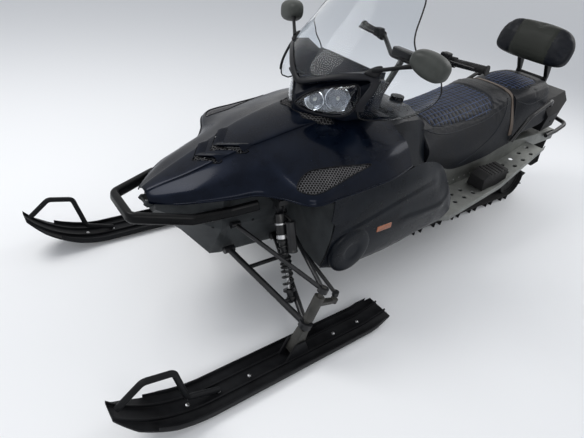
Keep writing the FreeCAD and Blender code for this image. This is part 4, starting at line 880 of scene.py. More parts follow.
def sideFace(tree, x, z):
    # place and outward normal on the left side's outer face; 1 m is outside every piece
    place, normal, _, _ = tree.ray_cast(Vector((x * mm, 1.0, z * mm)), Vector((0, -1, 0)))
    return place, normal if normal.y > 0 else -normal


def makeSidePanel(values):
    stations = [stationPoints(s) for s in values["stations"]]
    grid = skinGrid(stations, values["acrossSteps"], values["alongSteps"])
    # soft creases pressed along the panel
    for crease, width, rise in values["creases"]:
        line = smoothLine(np.array(crease, float) * mm, 8)
        line = line[np.argsort(line[:, 0])]
        level = np.interp(grid[..., 0], line[:, 0], line[:, 1])
        fade = values["creaseFade"] * mm
        rearEnd = np.clip((grid[..., 0] - line[0, 0]) / fade, 0, 1)
        ends = rearEnd * np.clip((line[-1, 0] - grid[..., 0]) / fade, 0, 1)
        gap = (level - grid[..., 2]) / (width * mm)
        grid[..., 1] += rise * mm * ends * np.tanh(gap) * np.exp(-(gap / 5.0) ** 2)
    way, reach, low, high = values["tongue"]
    rear = (values["stations"][0][0] - reach) * mm
    near = np.clip((grid[..., 0] - rear) / (reach * mm), 0, 1)
    grid[..., 0] += way * mm * near * np.clip((grid[..., 2] / mm - low) / (high - low), 0, 1)
    panel = gridPiece("sidePanelShell", grid[::-1])
    sideTree = treeOf(panel)
    addModifier(panel, "SOLIDIFY", thickness=values["thickness"] * mm, offset=-1.0)
    bake(panel)
    shadeByAngle(panel, 40.0)
    cover = values["cover"]
    r, hub = cover["radius"], cover["hub"]
    top = cover["out"] - cover["foot"]
    profile = [(r, 0), (r, top - 13), (r - 2, top - 9), (r - 6, top - 5.4), (r - 13, top - 2.6),
               (r - 24, top - 0.8), (r - 40, top), (hub + 14, top), (hub + 6, top - 1.6), (hub, top - 3.4),
               (hub - 8, top - 3.8), (0, top - 3.8)]
    place = (cover["x"] * mm, cover["foot"] * mm, cover["z"] * mm)
    disc = lathePiece("driveCover", inMetres(profile), place, (0, 1, 0), 56)
    parts = [panel, disc]
    for x, z in values["bolts"]:
        place, normal = sideFace(sideTree, x, z)
        head = lathePiece("panelFastener", inMetres(values["boltProfile"]), tuple(place), tuple(normal), 20)
        dressPair(head, "panelFastenerRight", blackAbs, "chassis")
    whole = joinPieces("sidePanelLeft", parts)
    shadeByAngle(whole, 40.0)
    twin = dressPair(whole, "sidePanelRight", panelAbs, "chassis")
    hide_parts("side_panel_left")
    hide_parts("side_panel_right")
    return sideTree


reflectorValues = {
    "middle": (449, 447),
    "half": (43.0, 13.5),
    "corner": 4.0,
    "turn": 1.0,
    # inset from the rim and lift from the panel, from the foot to the middle
    "profile": [(0.0, -3.0), (0.0, 4.4), (0.7, 5.6), (2.2, 6.2), (4.0, 6.4), (12.5, 6.4), (13.5, 6.4)],
}


def makeReflectors(values, tree):
    x, z = values["middle"]
    long, high = values["half"]
    place, out = sideFace(tree, x, z)
    along = Vector((1.0, 0.0, 0.0))
    along = (along - out * along.dot(out)).normalized()
    along = Matrix.Rotation(math.radians(values["turn"]), 3, out) @ along
    up = along.cross(out)
    rings = []
    for inset, lift in values["profile"]:
        corner = max(values["corner"] - inset, 0.4)
        ring = []
        for cx, cz, start in ((1, 1, 0), (-1, 1, 90), (-1, -1, 180), (1, -1, 270)):
            for k in range(6):
                angle = math.radians(start + 18 * k)
                a = cx * (long - inset - corner) + corner * math.cos(angle)
                b = cz * (high - inset - corner) + corner * math.sin(angle) if inset < high else 0.0
                ring.append(tuple(place + (along * a + up * b + out * lift) * mm))
        rings.append(ring)
    reflector = gridPiece("reflectorLeft", np.array(rings), closedAcross=True)
    shadeByAngle(reflector, 40.0)
    twin = dressPair(reflector, "reflectorRight", amberLens, "chassis")
    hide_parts("side_reflectors")
    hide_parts("side_reflectors")


panelTree = makeSidePanel(sideValues)
makeReflectors(reflectorValues, panelTree)
print("side panels made")


# windshield: bowed sheet, cut round the headlights, wings down to the hood

screenValues = {
    "thickness": 4.0,
    # z, middle x, edge x, edge y
    "rows": [
        (842, 674, 392, 272),
        (868, 668, 286, 324),
        (940, 642, 232, 366),
        (1020, 588, 272, 384),
        (1120, 512, 302, 322),
        (1270, 400, 290, 216),
        (1356, 336, 270, 132),
    ],
    # share of the bow from the middle, lowest and highest z there
    "lowerEdge": [(0.0, 842), (0.7, 842), (0.86, 850), (0.95, 868), (1.0, 896)],
    "upperEdge": [(0.0, 1356), (0.4, 1354), (0.7, 1346), (0.86, 1332), (0.95, 1312), (1.0, 1284)],
    # height, then how much of the bow's half is left there: a waist above the hand shields
    "waist": [(842, 1.0), (930, 1.0), (1000, 1.0), (1028, 0.995), (1056, 0.955), (1080, 0.89), (1104, 0.85),
              (1130, 0.834), (1152, 0.837), (1180, 0.862), (1211, 0.909), (1243, 0.967), (1275, 1.03),
              (1310, 1.06), (1356, 1.06)],
    # brow over the headlight and strut beside it: distance from the middle, height
    "brow": [(0, 920), (31, 929), (91, 956), (154, 983), (211, 998), (243, 1005)],
    "strut": [(258, 998), (263, 976), (258, 938), (254, 905), (256, 878), (258, 820)],
    "bowSteps": 96,
    "riseSteps": 56,
    "browWidth": 15.0,
    "browLowest": 884,
    # the edge moulding: its radius, and where the sheet's lower edge meets the lamps' opening
    "edgeRadius": 3.0,
    "edgeFrom": 262,
    "edgeLowest": 844,
}


def bowRow(values, z):
    rows = np.array(values["rows"], float)
    line = smoothLine(rows, 10)
    line = line[np.argsort(line[:, 0])]
    centre, edgeX, edgeY = (np.interp(z, line[:, 0], line[:, k]) for k in (1, 2, 3))
    sagitta = centre - edgeX
    radius = (edgeY ** 2 + sagitta ** 2) / (2 * sagitta)
    return centre, radius, math.atan2(edgeY, radius - sagitta)


def bowPoint(values, z, share):
    centre, radius, full = bowRow(values, z)
    return np.array([centre - radius + radius * math.cos(share * full), radius * math.sin(share * full), z])


def bowAt(values, y, z, lift=0.0):
    # place in metres on the bow's outer face, from a distance from the middle and a height in mm
    centre, radius, _ = bowRow(values, z)
    x = centre - radius + math.sqrt(max(radius ** 2 - y ** 2, 0.0))
    outward = np.array([x - centre + radius, y, 0.0]) / radius
    return (np.array([x, y, z]) + outward * lift) * mm


def makeWindshield(values):
    shares = np.linspace(-1.0, 1.0, values["bowSteps"] + 1)
    lows = np.interp(abs(shares), *smoothLine(np.array(values["lowerEdge"], float), 6).T)
    highs = np.interp(abs(shares), *smoothLine(np.array(values["upperEdge"], float), 6).T)
    waistZ, waistShare = smoothLine(np.array(values["waist"], float), 6).T
    grid = []
    for t in np.linspace(0.0, 1.0, values["riseSteps"] + 1):
        row = []
        for share, z in zip(shares, lows + (highs - lows) * t):
            row.append(bowPoint(values, z, share * np.interp(z, waistZ, waistShare)) * mm)
        grid.append(row)
    grid = np.array(grid)
    screen = gridPiece("windshieldSheet", grid)
    brow = smoothLine(np.array(values["brow"], float), 5)
    strut = smoothLine(np.array(values["strut"], float), 5)
    half = np.vstack([brow, strut])
    opening = np.vstack([half[::-1] * (-1, 1), half[1:]])
    cutOpening(screen, [tuple(p) for p in opening * mm], (1, 2))
    addModifier(screen, "SOLIDIFY", thickness=values["thickness"] * mm, offset=-1.0)
    bake(screen)
    shadeByAngle(screen, 50.0)
    dress(screen, screenClear, "hood_group")
    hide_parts("windshield")
    # rubber moulding round the edges
    beside = values["edgeFrom"] * mm
    lowLeft = [p for p in grid[0] if p[1] > beside]
    lowRight = [p for p in grid[0] if p[1] < -beside]
    cutLine = [bowAt(values, y, z, -values["thickness"] / 2) for y, z in opening if z > values["edgeLowest"]]
    rim = lowRight + cutLine + lowLeft
    outer = rim + list(grid[1:, -1]) + list(grid[-1, -2::-1]) + list(grid[-2:0:-1, 0])
    bead = roundBar("windshieldEdge", outer, values["edgeRadius"] * mm, 1, 8, closed=True)
    dress(bead, softRubber, "hood_group")
    # moulded brow under the sheet's front edge, with a strut down each side of the lamps
    wide = values["browWidth"]
    browLine = opening[opening[:, 1] > values["browLowest"]]
    # way over the opening's edge and lift off the sheet
    section = [(-6, -2.4), (3, -2.4), (wide * 0.75, 1.4), (wide, 2.6), (wide * 0.6, 5.2), (0, 6.4), (-5, 4.4),
               (-7, 1.0)]
    strip = []
    for k, (y, z) in enumerate(browLine):
        before = browLine[max(k - 1, 0)]
        after = browLine[min(k + 1, len(browLine) - 1)]
        run = (after - before) / np.linalg.norm(after - before)
        upward = np.array([-run[1], run[0]])
        ring = []
        for across, lift in section:
            ring.append(bowAt(values, *(np.array([y, z]) + upward * across), lift))
        strip.append(ring)
    trim = gridPiece("browTrim", np.array(strip), closedAcross=True)
    shadeByAngle(trim, 60.0)
    dress(trim, trimAbs, "hood_group")


makeWindshield(screenValues)
print("windshield made")


# headlights: clear shells over chromed bowls in dark housings

headlightValues = {
    "plan": [(660, 2), (642, 46), (612, 92), (574, 134), (532, 172), (500, 200), (478, 222)],
    # distance outwards along the lens, height
    "lower": [(6, 838), (30, 828), (66, 822), (120, 820), (184, 824), (226, 838), (246, 866), (252, 904)],
    "upper": [(6, 838), (22, 862), (50, 890), (88, 914), (134, 934), (184, 948), (232, 956), (252, 904)],
    "columns": 44,
    "rows": 18,
    "bulge": 7.0,
    "recess": 34.0,
    # the lens leans back by this share of the height above its foot
    "foot": 838,
    "lean": 0.16,
    # distance outwards, height, radius, depth
    "bowls": [(80, 865, 38, 38), (174, 887, 48, 48)],
}


def makeHeadlight(values):
    line = smoothLine(np.array(values["plan"], float), 12)
    lengths = np.concatenate([[0], np.cumsum(np.linalg.norm(np.diff(line, axis=0), axis=1))])
    lower = smoothLine(np.array(values["lower"], float), 8)
    upper = smoothLine(np.array(values["upper"], float), 8)
    first, last = values["lower"][0][0], values["lower"][-1][0]
    alongs = first + (last - first) * (0.5 - 0.5 * np.cos(np.linspace(0.0, math.pi, values["columns"])))

    def onLine(along):
        return np.array([np.interp(along, lengths, line[:, k]) for k in (0, 1)])

    def lensPlace(along, z, inward):
        # from the way along the lens's plan line, a height and a depth behind its face
        x, y = onLine(along)
        run = onLine(along + 4) - onLine(along - 4)
        run /= np.linalg.norm(run)
        lean = (z - values["foot"]) * values["lean"]
        return np.array([x - lean - run[1] * inward, y + run[0] * inward, z]) * mm

    def sheet(name, inward, bulge, shrink):
        grid = []
        for t in np.linspace(0, 1, values["rows"]):
            row = []
            for a in alongs:
                low = np.interp(a, lower[:, 0], lower[:, 1])
                high = np.interp(a, upper[:, 0], upper[:, 1])
                middle = (low + high) / 2
                z = middle + (low + (high - low) * t - middle) * shrink
                a2 = 120 + (a - 120) * shrink
                upward = max(0.0, math.sin(math.pi * t)) ** 0.6
                outward = max(0.0, math.sin(math.pi * (a - first) / (last - first))) ** 0.6
                swell = bulge * upward * outward
                row.append(lensPlace(a2, z, inward - swell))
            grid.append(row)
        return gridPiece(name, np.array(grid))

    lens = sheet("headlightLens", 2.0, values["bulge"], 1.0)
    addModifier(lens, "SOLIDIFY", thickness=0.003, offset=0.0)
    bake(lens)
    shadeByAngle(lens, 60.0)
    rimLine = [lensPlace(a, z, 1.0) for a, z in np.vstack([lower[:-1:3], upper[:0:-3]])]
    bezel = roundBar("headlightBezel", rimLine, 0.0045, 1, 10, closed=True)
    housing = sheet("headlightHousing", values["recess"], 0.0, 1.06)
    wall = []
    for a, z in np.vstack([lower[:-1], upper[:0:-1]]):
        wall.append([lensPlace(a, z, inward) for inward in (3.0, values["recess"] + 1)])
    wall.append(wall[0])
    side = gridPiece("headlightWall", np.array(wall))
    housing = joinPieces("headlightHousing", [housing, side])
    shadeByAngle(housing, 40.0)
    bowls = []
    bulbs = []
    for along, z, radius, depth in values["bowls"]:
        middle = lensPlace(along, z, 13.0)
        behind = lensPlace(along, z, 60.0)
        axis = np.array(behind) - np.array(middle)
        profile = [(radius + 4, -0.5), (radius + 1.5, -1.5), (radius, 0.0)]
        for t in np.linspace(0.05, 1.0, 12):
            profile.append((radius * math.sqrt(1 - t) if t < 1 else 0.0, depth * t))
        bowls.append(lathePiece("lampBowl", inMetres(profile), middle, axis, 40))
        bulb = [(0.0, 4.0), (5.0, 5.0), (7.5, 10.0), (7.5, 22.0), (6.0, 30.0), (6.0, depth - 2.0)]
        bulbs.append(lathePiece("lampBulb", inMetres(bulb), middle, axis, 20))
    bowl = joinPieces("headlightBowls", bowls)
    shadeByAngle(bowl, 50.0)
    bulb = joinPieces("headlightBulbs", bulbs)
    shadeByAngle(bulb, 50.0)
    finishes = [(lens, lensClear, "headlight_lens"), (bezel, trimAbs, "black_plastic"),
                (housing, smokeChrome, "headlight_lens"), (bowl, chromeFoil, "headlight_lens"),
                (bulb, frostGlass, "headlight_lens")]
    for piece, material, slot in finishes:
        dressPair(piece, piece.name + "Right", material, "hood_group")
    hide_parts("headlights")


makeHeadlight(headlightValues)
print("headlights made")


# mirrors: teardrop shells on arms from the windshield's struts

mirrorValues = {
    "middle": (418, 408, 1098),
    "width": 152.0,
    "height": 92.0,
    "turn": 12.0,
    "tilt": -12.0,
    # way forward and share of the outline, from the glass's rim round to the shell's nose
    "shell": [(-16, 0.90), (-22, 0.925), (-26, 0.96), (-26.5, 0.985), (-24, 1.0), (-12, 1.0), (4, 0.975),
              (16, 0.90), (24, 0.78), (29, 0.58), (31, 0.34), (31.5, 0.12), (31.5, 0.001)],
    "glass": (0.905, 0.6, 0.3, 0.001),
    "arm": [(507, 240, 1032), (486, 276, 1046), (456, 326, 1068), (432, 366, 1086)],
    "armRadii": [9.5, 7.5, 7.5, 11.0],
    # the foot on the windshield: y and z of its middle, its outline, then lift and share of the outline
    "foot": (238, 1030),
    "footLine": [(-20, -13), (18, -20), (26, -4), (14, 20), (-6, 12)],
    "footRings": [(0.2, 1.0), (5, 0.96), (9, 0.84), (13, 0.6), (14, 0.05)],
}


def makeMirror(values):
    turn = Matrix.Rotation(math.radians(values["turn"]), 3, "Z")
    turn = turn @ Matrix.Rotation(math.radians(values["tilt"]), 3, "X")
    middle = Vector(values["middle"]) * mm

    def outline(scale):
        points = []
        for k in range(64):
            angle = 2 * math.pi * k / 64
            c, s = math.cos(angle), math.sin(angle)
            y = values["width"] / 2 * math.copysign(abs(c) ** 0.72, c)
            # lower and narrower towards the arm
            tall = values["height"] / 2 * (1.0 - 0.20 * max(0.0, -y / (values["width"] / 2)))
            z = tall * math.copysign(abs(s) ** 0.72, s)
            points.append((y * scale, z * scale))
        return points

    rings = []
    for along, scale in values["shell"]:
        rings.append([middle + turn @ (Vector((along, y, z)) * mm) for y, z in outline(scale)])
    shell = gridPiece("mirrorShell", np.array(rings), closedAcross=True)
    shadeByAngle(shell, 60.0)
    faces = []
    for scale in values["glass"]:
        along = -17.0 - 2.0 * (1 - scale)
        faces.append([middle + turn @ (Vector((along, y, z)) * mm) for y, z in outline(scale)])
    glass = gridPiece("mirrorGlass", np.array(faces), closedAcross=True)
    shadeByAngle(glass, 80.0)
    arm = roundBar("mirrorArm", np.array(values["arm"]) * mm, np.array(values["armRadii"]) * mm, 6, 14)
    y, z = values["foot"]
    base = smoothLine(np.array(values["footLine"], float), 5, closed=True)
    rings = []
    for lift, shrink in values["footRings"]:
        rings.append([bowAt(screenValues, y + dy * shrink, z + dz * shrink, lift) for dy, dz in base])
    foot = gridPiece("mirrorFoot", np.array(rings), closedAcross=True)
    shadeByAngle(foot, 50.0)
    # the shell's mid grey is partly painted sheen over its black plastic
    for piece, material in ((shell, mirrorAbsPaintedSheen), (glass, mirrorFoil), (arm, blackAbs), (foot, blackAbs)):
        dressPair(piece, piece.name + "Right", material, "hood_group")
    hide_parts("mirrors")


makeMirror(mirrorValues)
print("mirrors made")


# seats: foam under a sewn cover, blown up as cloth, then quilted, piped and strapped

seatValues = {
    "driver": {
        # x, low y, low z, side y, side z, top y, top z
        "rows": [
            (-61, 222, 520, 224, 600, 138, 706),
            (-200, 228, 488, 232, 580, 156, 716),
            (-340, 233, 457, 237, 562, 166, 729),
            (-600, 235, 480, 233, 584, 174, 768),
            (-740, 233, 510, 224, 604, 160, 806),
            (-849, 229, 530, 210, 640, 124, 815),
        ],
        "floor": 531.5, "inner": 217.0, "voxel": 0.010, "cap": 0.022,
        # front and rear x of the quilted panel, then its half width there
        "quilt": (-120, -640, 150, 178),
        "seams": [
            [(-748, 168, 800), (-715, 208, 720), (-630, 240, 620), (-500, 246, 545), (-350, 240, 470)],
            [(-62, 150, 690), (-180, 196, 668), (-330, 204, 672), (-520, 208, 700), (-700, 196, 752),
             (-800, 168, 770)],
        ],
    },
    "passenger": {
        "rows": [
            (-851, 226, 561, 203, 642, 146, 799),
            (-1000, 220, 582, 198, 680, 158, 829),
            (-1180, 212, 602, 190, 700, 148, 843),
            (-1249, 204, 621, 178, 710, 128, 839),
        ],
        "floor": None, "inner": 190.0, "voxel": 0.009, "cap": 0.022,
        "quilt": (-890, -1150, 118, 124),
        "seams": [[(-870, 168, 760), (-980, 196, 742), (-1120, 190, 760), (-1230, 168, 768)]],
    },
    "ringSteps": 9,
    "alongSteps": 34,
    "quiltPitch": 28.0,
    "quiltDepth": 3.4,
    "quiltWidth": 4.2,
    "seamDepth": 4.0,
    "seamWidth": 6.0,
    "threadRadius": 0.8,
    "threadStep": 9.0,
    "threadLift": 0.4,
    "pipingLift": 0.6,
    "pipingRadius": 2.4,
    "pressure": 4.0,
    "frames": 20,
}


def seatRing(row, floor, inner):
    x, lowY, lowZ, sideY, sideZ, topY, topZ = row
    base = lowZ if floor is None else floor
    skirt = min(lowZ + 5.0, base)
    half = [(0, base), (inner * 0.5, base), (inner, base), (inner + 1.0, skirt), (lowY - 3, lowZ),
            (lowY, lowZ + 8), (sideY, sideZ), (topY + 24, topZ - 44), (topY + 6, topZ - 20),
            (topY * 0.80, topZ - 6), (topY * 0.42, topZ - 1), (0, topZ)]
    ring = half + [(-y, z) for y, z in half[-2:0:-1]]
    return [(x, y, z) for y, z in ring]


def closedBody(stations, ringSteps, alongSteps, rounding):
    # rings along the piece, closed by flat ends with a rolled edge
    rings = [smoothLine(np.array(s, float), ringSteps, closed=True) for s in stations]
    rings = np.array(rings)
    columns = [smoothLine(rings[:, j], alongSteps) for j in range(rings.shape[1])]
    grid = np.array(columns).transpose(1, 0, 2)
    ends = []
    for end, inner in ((0, 1), (-1, -2)):
        ring = grid[end]
        middle = ring.mean(axis=0)
        inward = grid[inner].mean(axis=0) - middle
        inward /= np.linalg.norm(inward)
        caps = []
        for scale, depth in ((0.0, 0.0), (0.3, 0.0), (0.6, 0.0), (0.84, 0.0), (0.93, 0.0), (0.965, 0.12),
                             (0.985, 0.38)):
            caps.append(middle + (ring - middle) * scale + inward * rounding * depth)
        ends.append(caps)
    head = np.array(ends[0])
    tail = np.array(ends[1][::-1])
    body = grid.copy()
    body[0] += (grid[1] - grid[0]) * 0.9
    body[-1] += (grid[-2] - grid[-1]) * 0.9
    return np.vstack([head, body, tail])


def swellMoves(name, grid, values, held):
    # the cover is blown up as cloth on a remeshed copy; every point's way is kept for the smooth shape
    body = gridPiece(name, grid, closedAcross=True)
    weld(body, 1e-5)
    addModifier(body, "REMESH", mode="VOXEL", voxel_size=values["voxel"])
    bake(body)
    start = np.array([v.co[:] for v in body.data.vertices])
    group = body.vertex_groups.new(name="held")
    for i, p in enumerate(start):
        weight = held(p)
        if weight > 0:
            group.add([i], weight, "REPLACE")
    cloth = body.modifiers.new("Cloth", "CLOTH")
    cloth.settings.quality = 4
    cloth.settings.use_pressure = True
    cloth.settings.uniform_pressure_force = seatValues["pressure"]
    cloth.settings.effector_weights.gravity = 0.0
    cloth.settings.vertex_group_mass = "held"
    cloth.settings.bending_stiffness = 1.5
    cloth.point_cache.frame_start = 1
    cloth.point_cache.frame_end = seatValues["frames"]
    scene = bpy.context.scene
    for step in range(1, seatValues["frames"] + 1):
        scene.frame_set(step)
    graph = bpy.context.evaluated_depsgraph_get()
    blown = body.evaluated_get(graph).to_mesh()
    moved = np.array([v.co[:] for v in blown.vertices]) - start
    body.evaluated_get(graph).to_mesh_clear()
    far = np.linalg.norm(moved, axis=1)
    moved *= np.minimum(1.0, values["cap"] / np.maximum(far, 1e-9))[:, None]
    print(name, "cloth points", len(start), "mean way mm", round(float(far.mean()) * 1000, 1))
    tree = KDTree(len(start))
    for i, p in enumerate(start):
        tree.insert(p, i)
    tree.balance()
    bpy.data.objects.remove(body)
    scene.frame_set(1)
    return tree, moved


def swollenGrid(grid, tree, moved):
    flat = grid.reshape(-1, 3)
    out = flat.copy()
    for i, p in enumerate(flat):
        found = tree.find_n(p, 5)
        weights = np.array([1.0 / (d + 0.002) for _, _, d in found])
        ways = np.array([moved[k] for _, k, _ in found])
        out[i] = p + (ways * weights[:, None]).sum(axis=0) / weights.sum()
    return out.reshape(grid.shape)


def lineGap(points, line):
    # distance of each point from a line of points
    best = np.full(len(points), 1.0)
    for a, b in zip(line, line[1:]):
        way = b - a
        t = np.clip(((points - a) @ way) / max(way @ way, 1e-12), 0, 1)
        best = np.minimum(best, np.linalg.norm(points - (a + t[:, None] * way), axis=1))
    return best


def panelLine(quilt):
    # outline of the quilted panel in plan, rounded at its corners
    front, rear, frontHalf, rearHalf = quilt
    corners = [(front, 0), (front - 6, frontHalf * 0.7), (front - 50, frontHalf),
               ((front + rear) / 2, (frontHalf + rearHalf) / 2 + 6), (rear + 60, rearHalf),
               (rear + 8, rearHalf * 0.72), (rear, 0)]
    loop = corners + [(x, -y) for x, y in corners[-2:0:-1]]
    return smoothLine(np.array(loop, float), 14, closed=True)


def makeSeat(name, node, values):
    inner, floor = values["inner"], values["floor"]
    stations = [np.array(seatRing(r, floor, inner)) * mm for r in values["rows"]]
    grid = closedBody(stations, seatValues["ringSteps"], seatValues["alongSteps"], 0.014)
    front = values["rows"][0][0] * mm
    rear = values["rows"][-1][0] * mm
    sides = [(r[0] * mm, r[4] * mm) for r in values["rows"]][::-1]

    def held(p):
        # the skirt and both ends stay, the top swells
        side = np.interp(p[0], [s[0] for s in sides], [s[1] for s in sides])
        low = 1.0 - min(1.0, max(0.0, (p[2] - side + 0.06) / 0.07))
        end = 1.0 - min(1.0, max(0.0, min(front - p[0], p[0] - rear) / 0.025))
        return max(low, end)

    tree, moved = swellMoves(name + "Cloth", grid, values, held)
    grid = swollenGrid(grid, tree, moved)
    grid[..., 0] = np.clip(grid[..., 0], rear, front)
    flat = grid.reshape(-1, 3)
    plan = [tuple(p * mm) for p in panelLine(values["quilt"])]
    top = np.interp(flat[:, 0], [s[0] for s in sides], [s[1] for s in sides])
    pitch = seatValues["quiltPitch"] * mm
    width = seatValues["quiltWidth"] * mm
    inside = np.array([z > t and insideOutline(x, y, plan) for (x, y, z), t in zip(flat, top)])
    lineX = np.abs((flat[:, 0] / pitch + 0.5) % 1.0 - 0.5) * pitch
    lineY = np.abs((flat[:, 1] / pitch + 0.5) % 1.0 - 0.5) * pitch
    groove = np.maximum(np.exp(-(lineX / width) ** 2), np.exp(-(lineY / width) ** 2))
    flat[:, 2] -= np.where(inside, groove * seatValues["quiltDepth"] * mm, 0.0)
    # the cover is drawn in along the panel's own seam
    planGap = lineGap(flat[:, :2], np.array(plan + plan[:1]))
    sunk = seatValues["seamDepth"] * mm * np.exp(-(planGap / (seatValues["seamWidth"] * mm)) ** 2)
    flat[:, 2] -= np.where(flat[:, 2] > top, sunk, 0.0)
    seat = gridPiece(name, flat.reshape(grid.shape), closedAcross=True)
    weld(seat, 1e-5)
    shadeByAngle(seat, 75.0)
    skin = treeOf(seat)
    threadLift = seatValues["threadLift"] * mm
    trims = []
    ring = [dropOn(skin, x, y, seatValues["pipingLift"] * mm) for x, y in plan]
    ring = [tuple(p) for p in ring if p is not None]
    trims.append(roundBar(name + "Piping", ring, seatValues["pipingRadius"] * mm, 1, 8, closed=True))
    for seam in values["seams"]:
        for side in (1, -1):
            line = smoothLine(np.array(seam, float) * (1, side, 1) * mm, 14)
            laid = []
            for p in line:
                place, normal, _, _ = skin.find_nearest(Vector(p))
                laid.append(tuple(place + normal * threadLift))
            trims.append(roundBar(name + "Seam", laid, seatValues["pipingRadius"] * 0.85 * mm, 1, 8))
    piping = joinPieces(name + "Piping", trims)
    shadeByAngle(piping, 60.0)
    dress(piping, pipingVinyl, "chassis")
    threads = []
    lowX, highX = min(p[0] for p in plan), max(p[0] for p in plan)
    highY = max(p[1] for p in plan)
    tracks = [("x", k * pitch) for k in range(int(lowX / pitch), int(highX / pitch) + 1)]
    tracks += [("y", k * pitch) for k in range(-int(highY / pitch), int(highY / pitch) + 1)]
    for kind, level in tracks:
        start, stop = (-highY, highY) if kind == "x" else (lowX, highX)
        laid = []
        for s in np.arange(start, stop, seatValues["threadStep"] * mm):
            x, y = (level, s) if kind == "x" else (s, level)
            if insideOutline(x, y, plan):
                place = dropOn(skin, x, y, threadLift)
                if place is not None:
                    laid.append(tuple(place))
        if len(laid) > 3:
            threads.append(roundBar("thread", laid, seatValues["threadRadius"] * mm, 1, 5, caps=False))
    stitch = joinPieces(name + "Thread", threads)
    dress(stitch, sewingThread, "chassis")
    dress(seat, blackVinyl, "chassis")
    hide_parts(node)
    return skin


driverSkin = makeSeat("driverSeat", "driver_seat", seatValues["driver"])
makeSeat("passengerSeat", "passenger_seat", seatValues["passenger"])
print("seats made")


# strap across the seat, between driver and passenger

strapValues = {
    "x": -818.0,
    "lean": 6.0,
    "width": 38.0,
    "thick": 2.4,
    "lift": 0.6,
    "lowest": 560.0,
    "rearmost": -840.0,
    # the strap is laid from outside the seat: half circle's radius and height, height aimed at
    "around": 340.0,
    "level": 560.0,
    "aim": 620.0,
    "steps": 72,
}


def makeStrap(values):
    rows = []
    for k in range(values["steps"] + 1):
        angle = math.pi * k / values["steps"]
        # round the seat's section from one side to the other
        y = math.cos(angle) * values["around"]
        z = values["level"] + math.sin(angle) * values["around"]
        ring = []
        for side in (-1, 1):
            x = values["x"] - values["lean"] * (1 - math.sin(angle)) + side * values["width"] / 2
            x = max(x, values["rearmost"])
            aim = Vector((0.0, -y, values["aim"] - z)).normalized()
            hit = driverSkin.ray_cast(Vector((x, y, z)) * mm, aim)
            if hit[0] is None:
                continue
            lift = values["lift"] * mm
            ring.append((tuple(hit[0] - aim * lift), tuple(hit[0] - aim * (lift + values["thick"] * mm))))
        if len(ring) == 2 and ring[0][0][2] > values["lowest"] * mm:
            rows.append([ring[0][0], ring[1][0], ring[1][1], ring[0][1]])
    strap = gridPiece("seatStrap", np.array(rows), closedAcross=True)
    shadeByAngle(strap, 40.0)
    dress(strap, strapVinyl, "chassis")


makeStrap(strapValues)
print("strap made")


# backrest: domed pad with a matt middle and smooth bolsters

backrestValues = {
    "x": -1165, "z": 932, "lean": 14.0, "thick": 104.0,
    # y and z round the pad's face, before the lean
    "outline": [(0, -2), (120, -1), (190, 6), (224, 30), (233, 78), (226, 132), (196, 178), (150, 204),
                (80, 212), (0, 213)],
    "cap": 0.016, "voxel": 0.008,
    "bolster": 118.0,
    "seamDepth": 6.0,
    "seamWidth": 7.0,
    # height of the outline's middle, and how far in from the back the face begins
    "middle": 104.0,
    "faceFrom": 30.0,
}


def makeBackrest(values):
    outline = np.array(values["outline"], float)
    ring = np.vstack([outline, (outline * (-1, 1))[-2:0:-1]])
    ring = smoothLine(ring, 7, closed=True)
    middle = np.array([0.0, values["middle"]])
    stations = []
    # distance from the front face, share of the outline
    for depth, scale in ((6, 0.0), (6, 0.3), (6.5, 0.55), (8, 0.76), (13, 0.89), (24, 0.965), (40, 0.985),
                         (62, 0.985), (80, 0.965), (91, 0.90), (96, 0.78), (97, 0.5), (97, 0.25), (97, 0.0)):
        stations.append([(values["thick"] - depth, *(middle + (p - middle) * scale)) for p in ring])
    rings = np.array(stations, float)
    columns = [smoothLine(rings[:, j], 5) for j in range(rings.shape[1])]
    grid = np.array(columns).transpose(1, 0, 2)
    lean = math.radians(-values["lean"])
    turn = np.array([[math.cos(lean), 0, math.sin(lean)], [0, 1, 0], [-math.sin(lean), 0, math.cos(lean)]])
    grid = (grid @ turn.T + np.array([values["x"], 0, values["z"]])) * mm
    ahead = turn @ np.array([1.0, 0.0, 0.0])
    foot = np.array([values["x"], 0, values["z"]]) * mm

    def held(p):
        # the back stays, the face swells
        depth = float((np.asarray(p) - foot) @ ahead)
        return 1.0 - min(1.0, max(0.0, (depth - 0.014) / 0.02))

    tree, moved = swellMoves("backrestCloth", grid, values, held)
    grid = swollenGrid(grid, tree, moved)
    flat = grid.reshape(-1, 3)
    # two sewn seams part the middle from the bolsters
    seamY = values["bolster"] * mm
    gap = np.abs(np.abs(flat[:, 1]) - seamY)
    front = (flat - foot) @ ahead > values["faceFrom"] * mm
    sunk = values["seamDepth"] * mm * np.exp(-(gap / (values["seamWidth"] * mm)) ** 2)
    flat -= np.where(front, sunk, 0.0)[:, None] * ahead
    pad = gridPiece("backrestPad", flat.reshape(grid.shape), closedAcross=True)
    weld(pad, 1e-5)
    shadeByAngle(pad, 75.0)
    pad.data.materials.clear()
    dress(pad, blackVinyl, "chassis")
    pad.data.materials.append(mattVinyl)
    for face in pad.data.polygons:
        depth = (np.array(face.center) - foot) @ ahead
        if abs(face.center[1]) < seamY and depth > values["faceFrom"] * mm:
            face.material_index = 1
    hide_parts("backrest_pad")


makeBackrest(backrestValues)
print("backrest made")


# front dampers: coil springs over the damper bodies

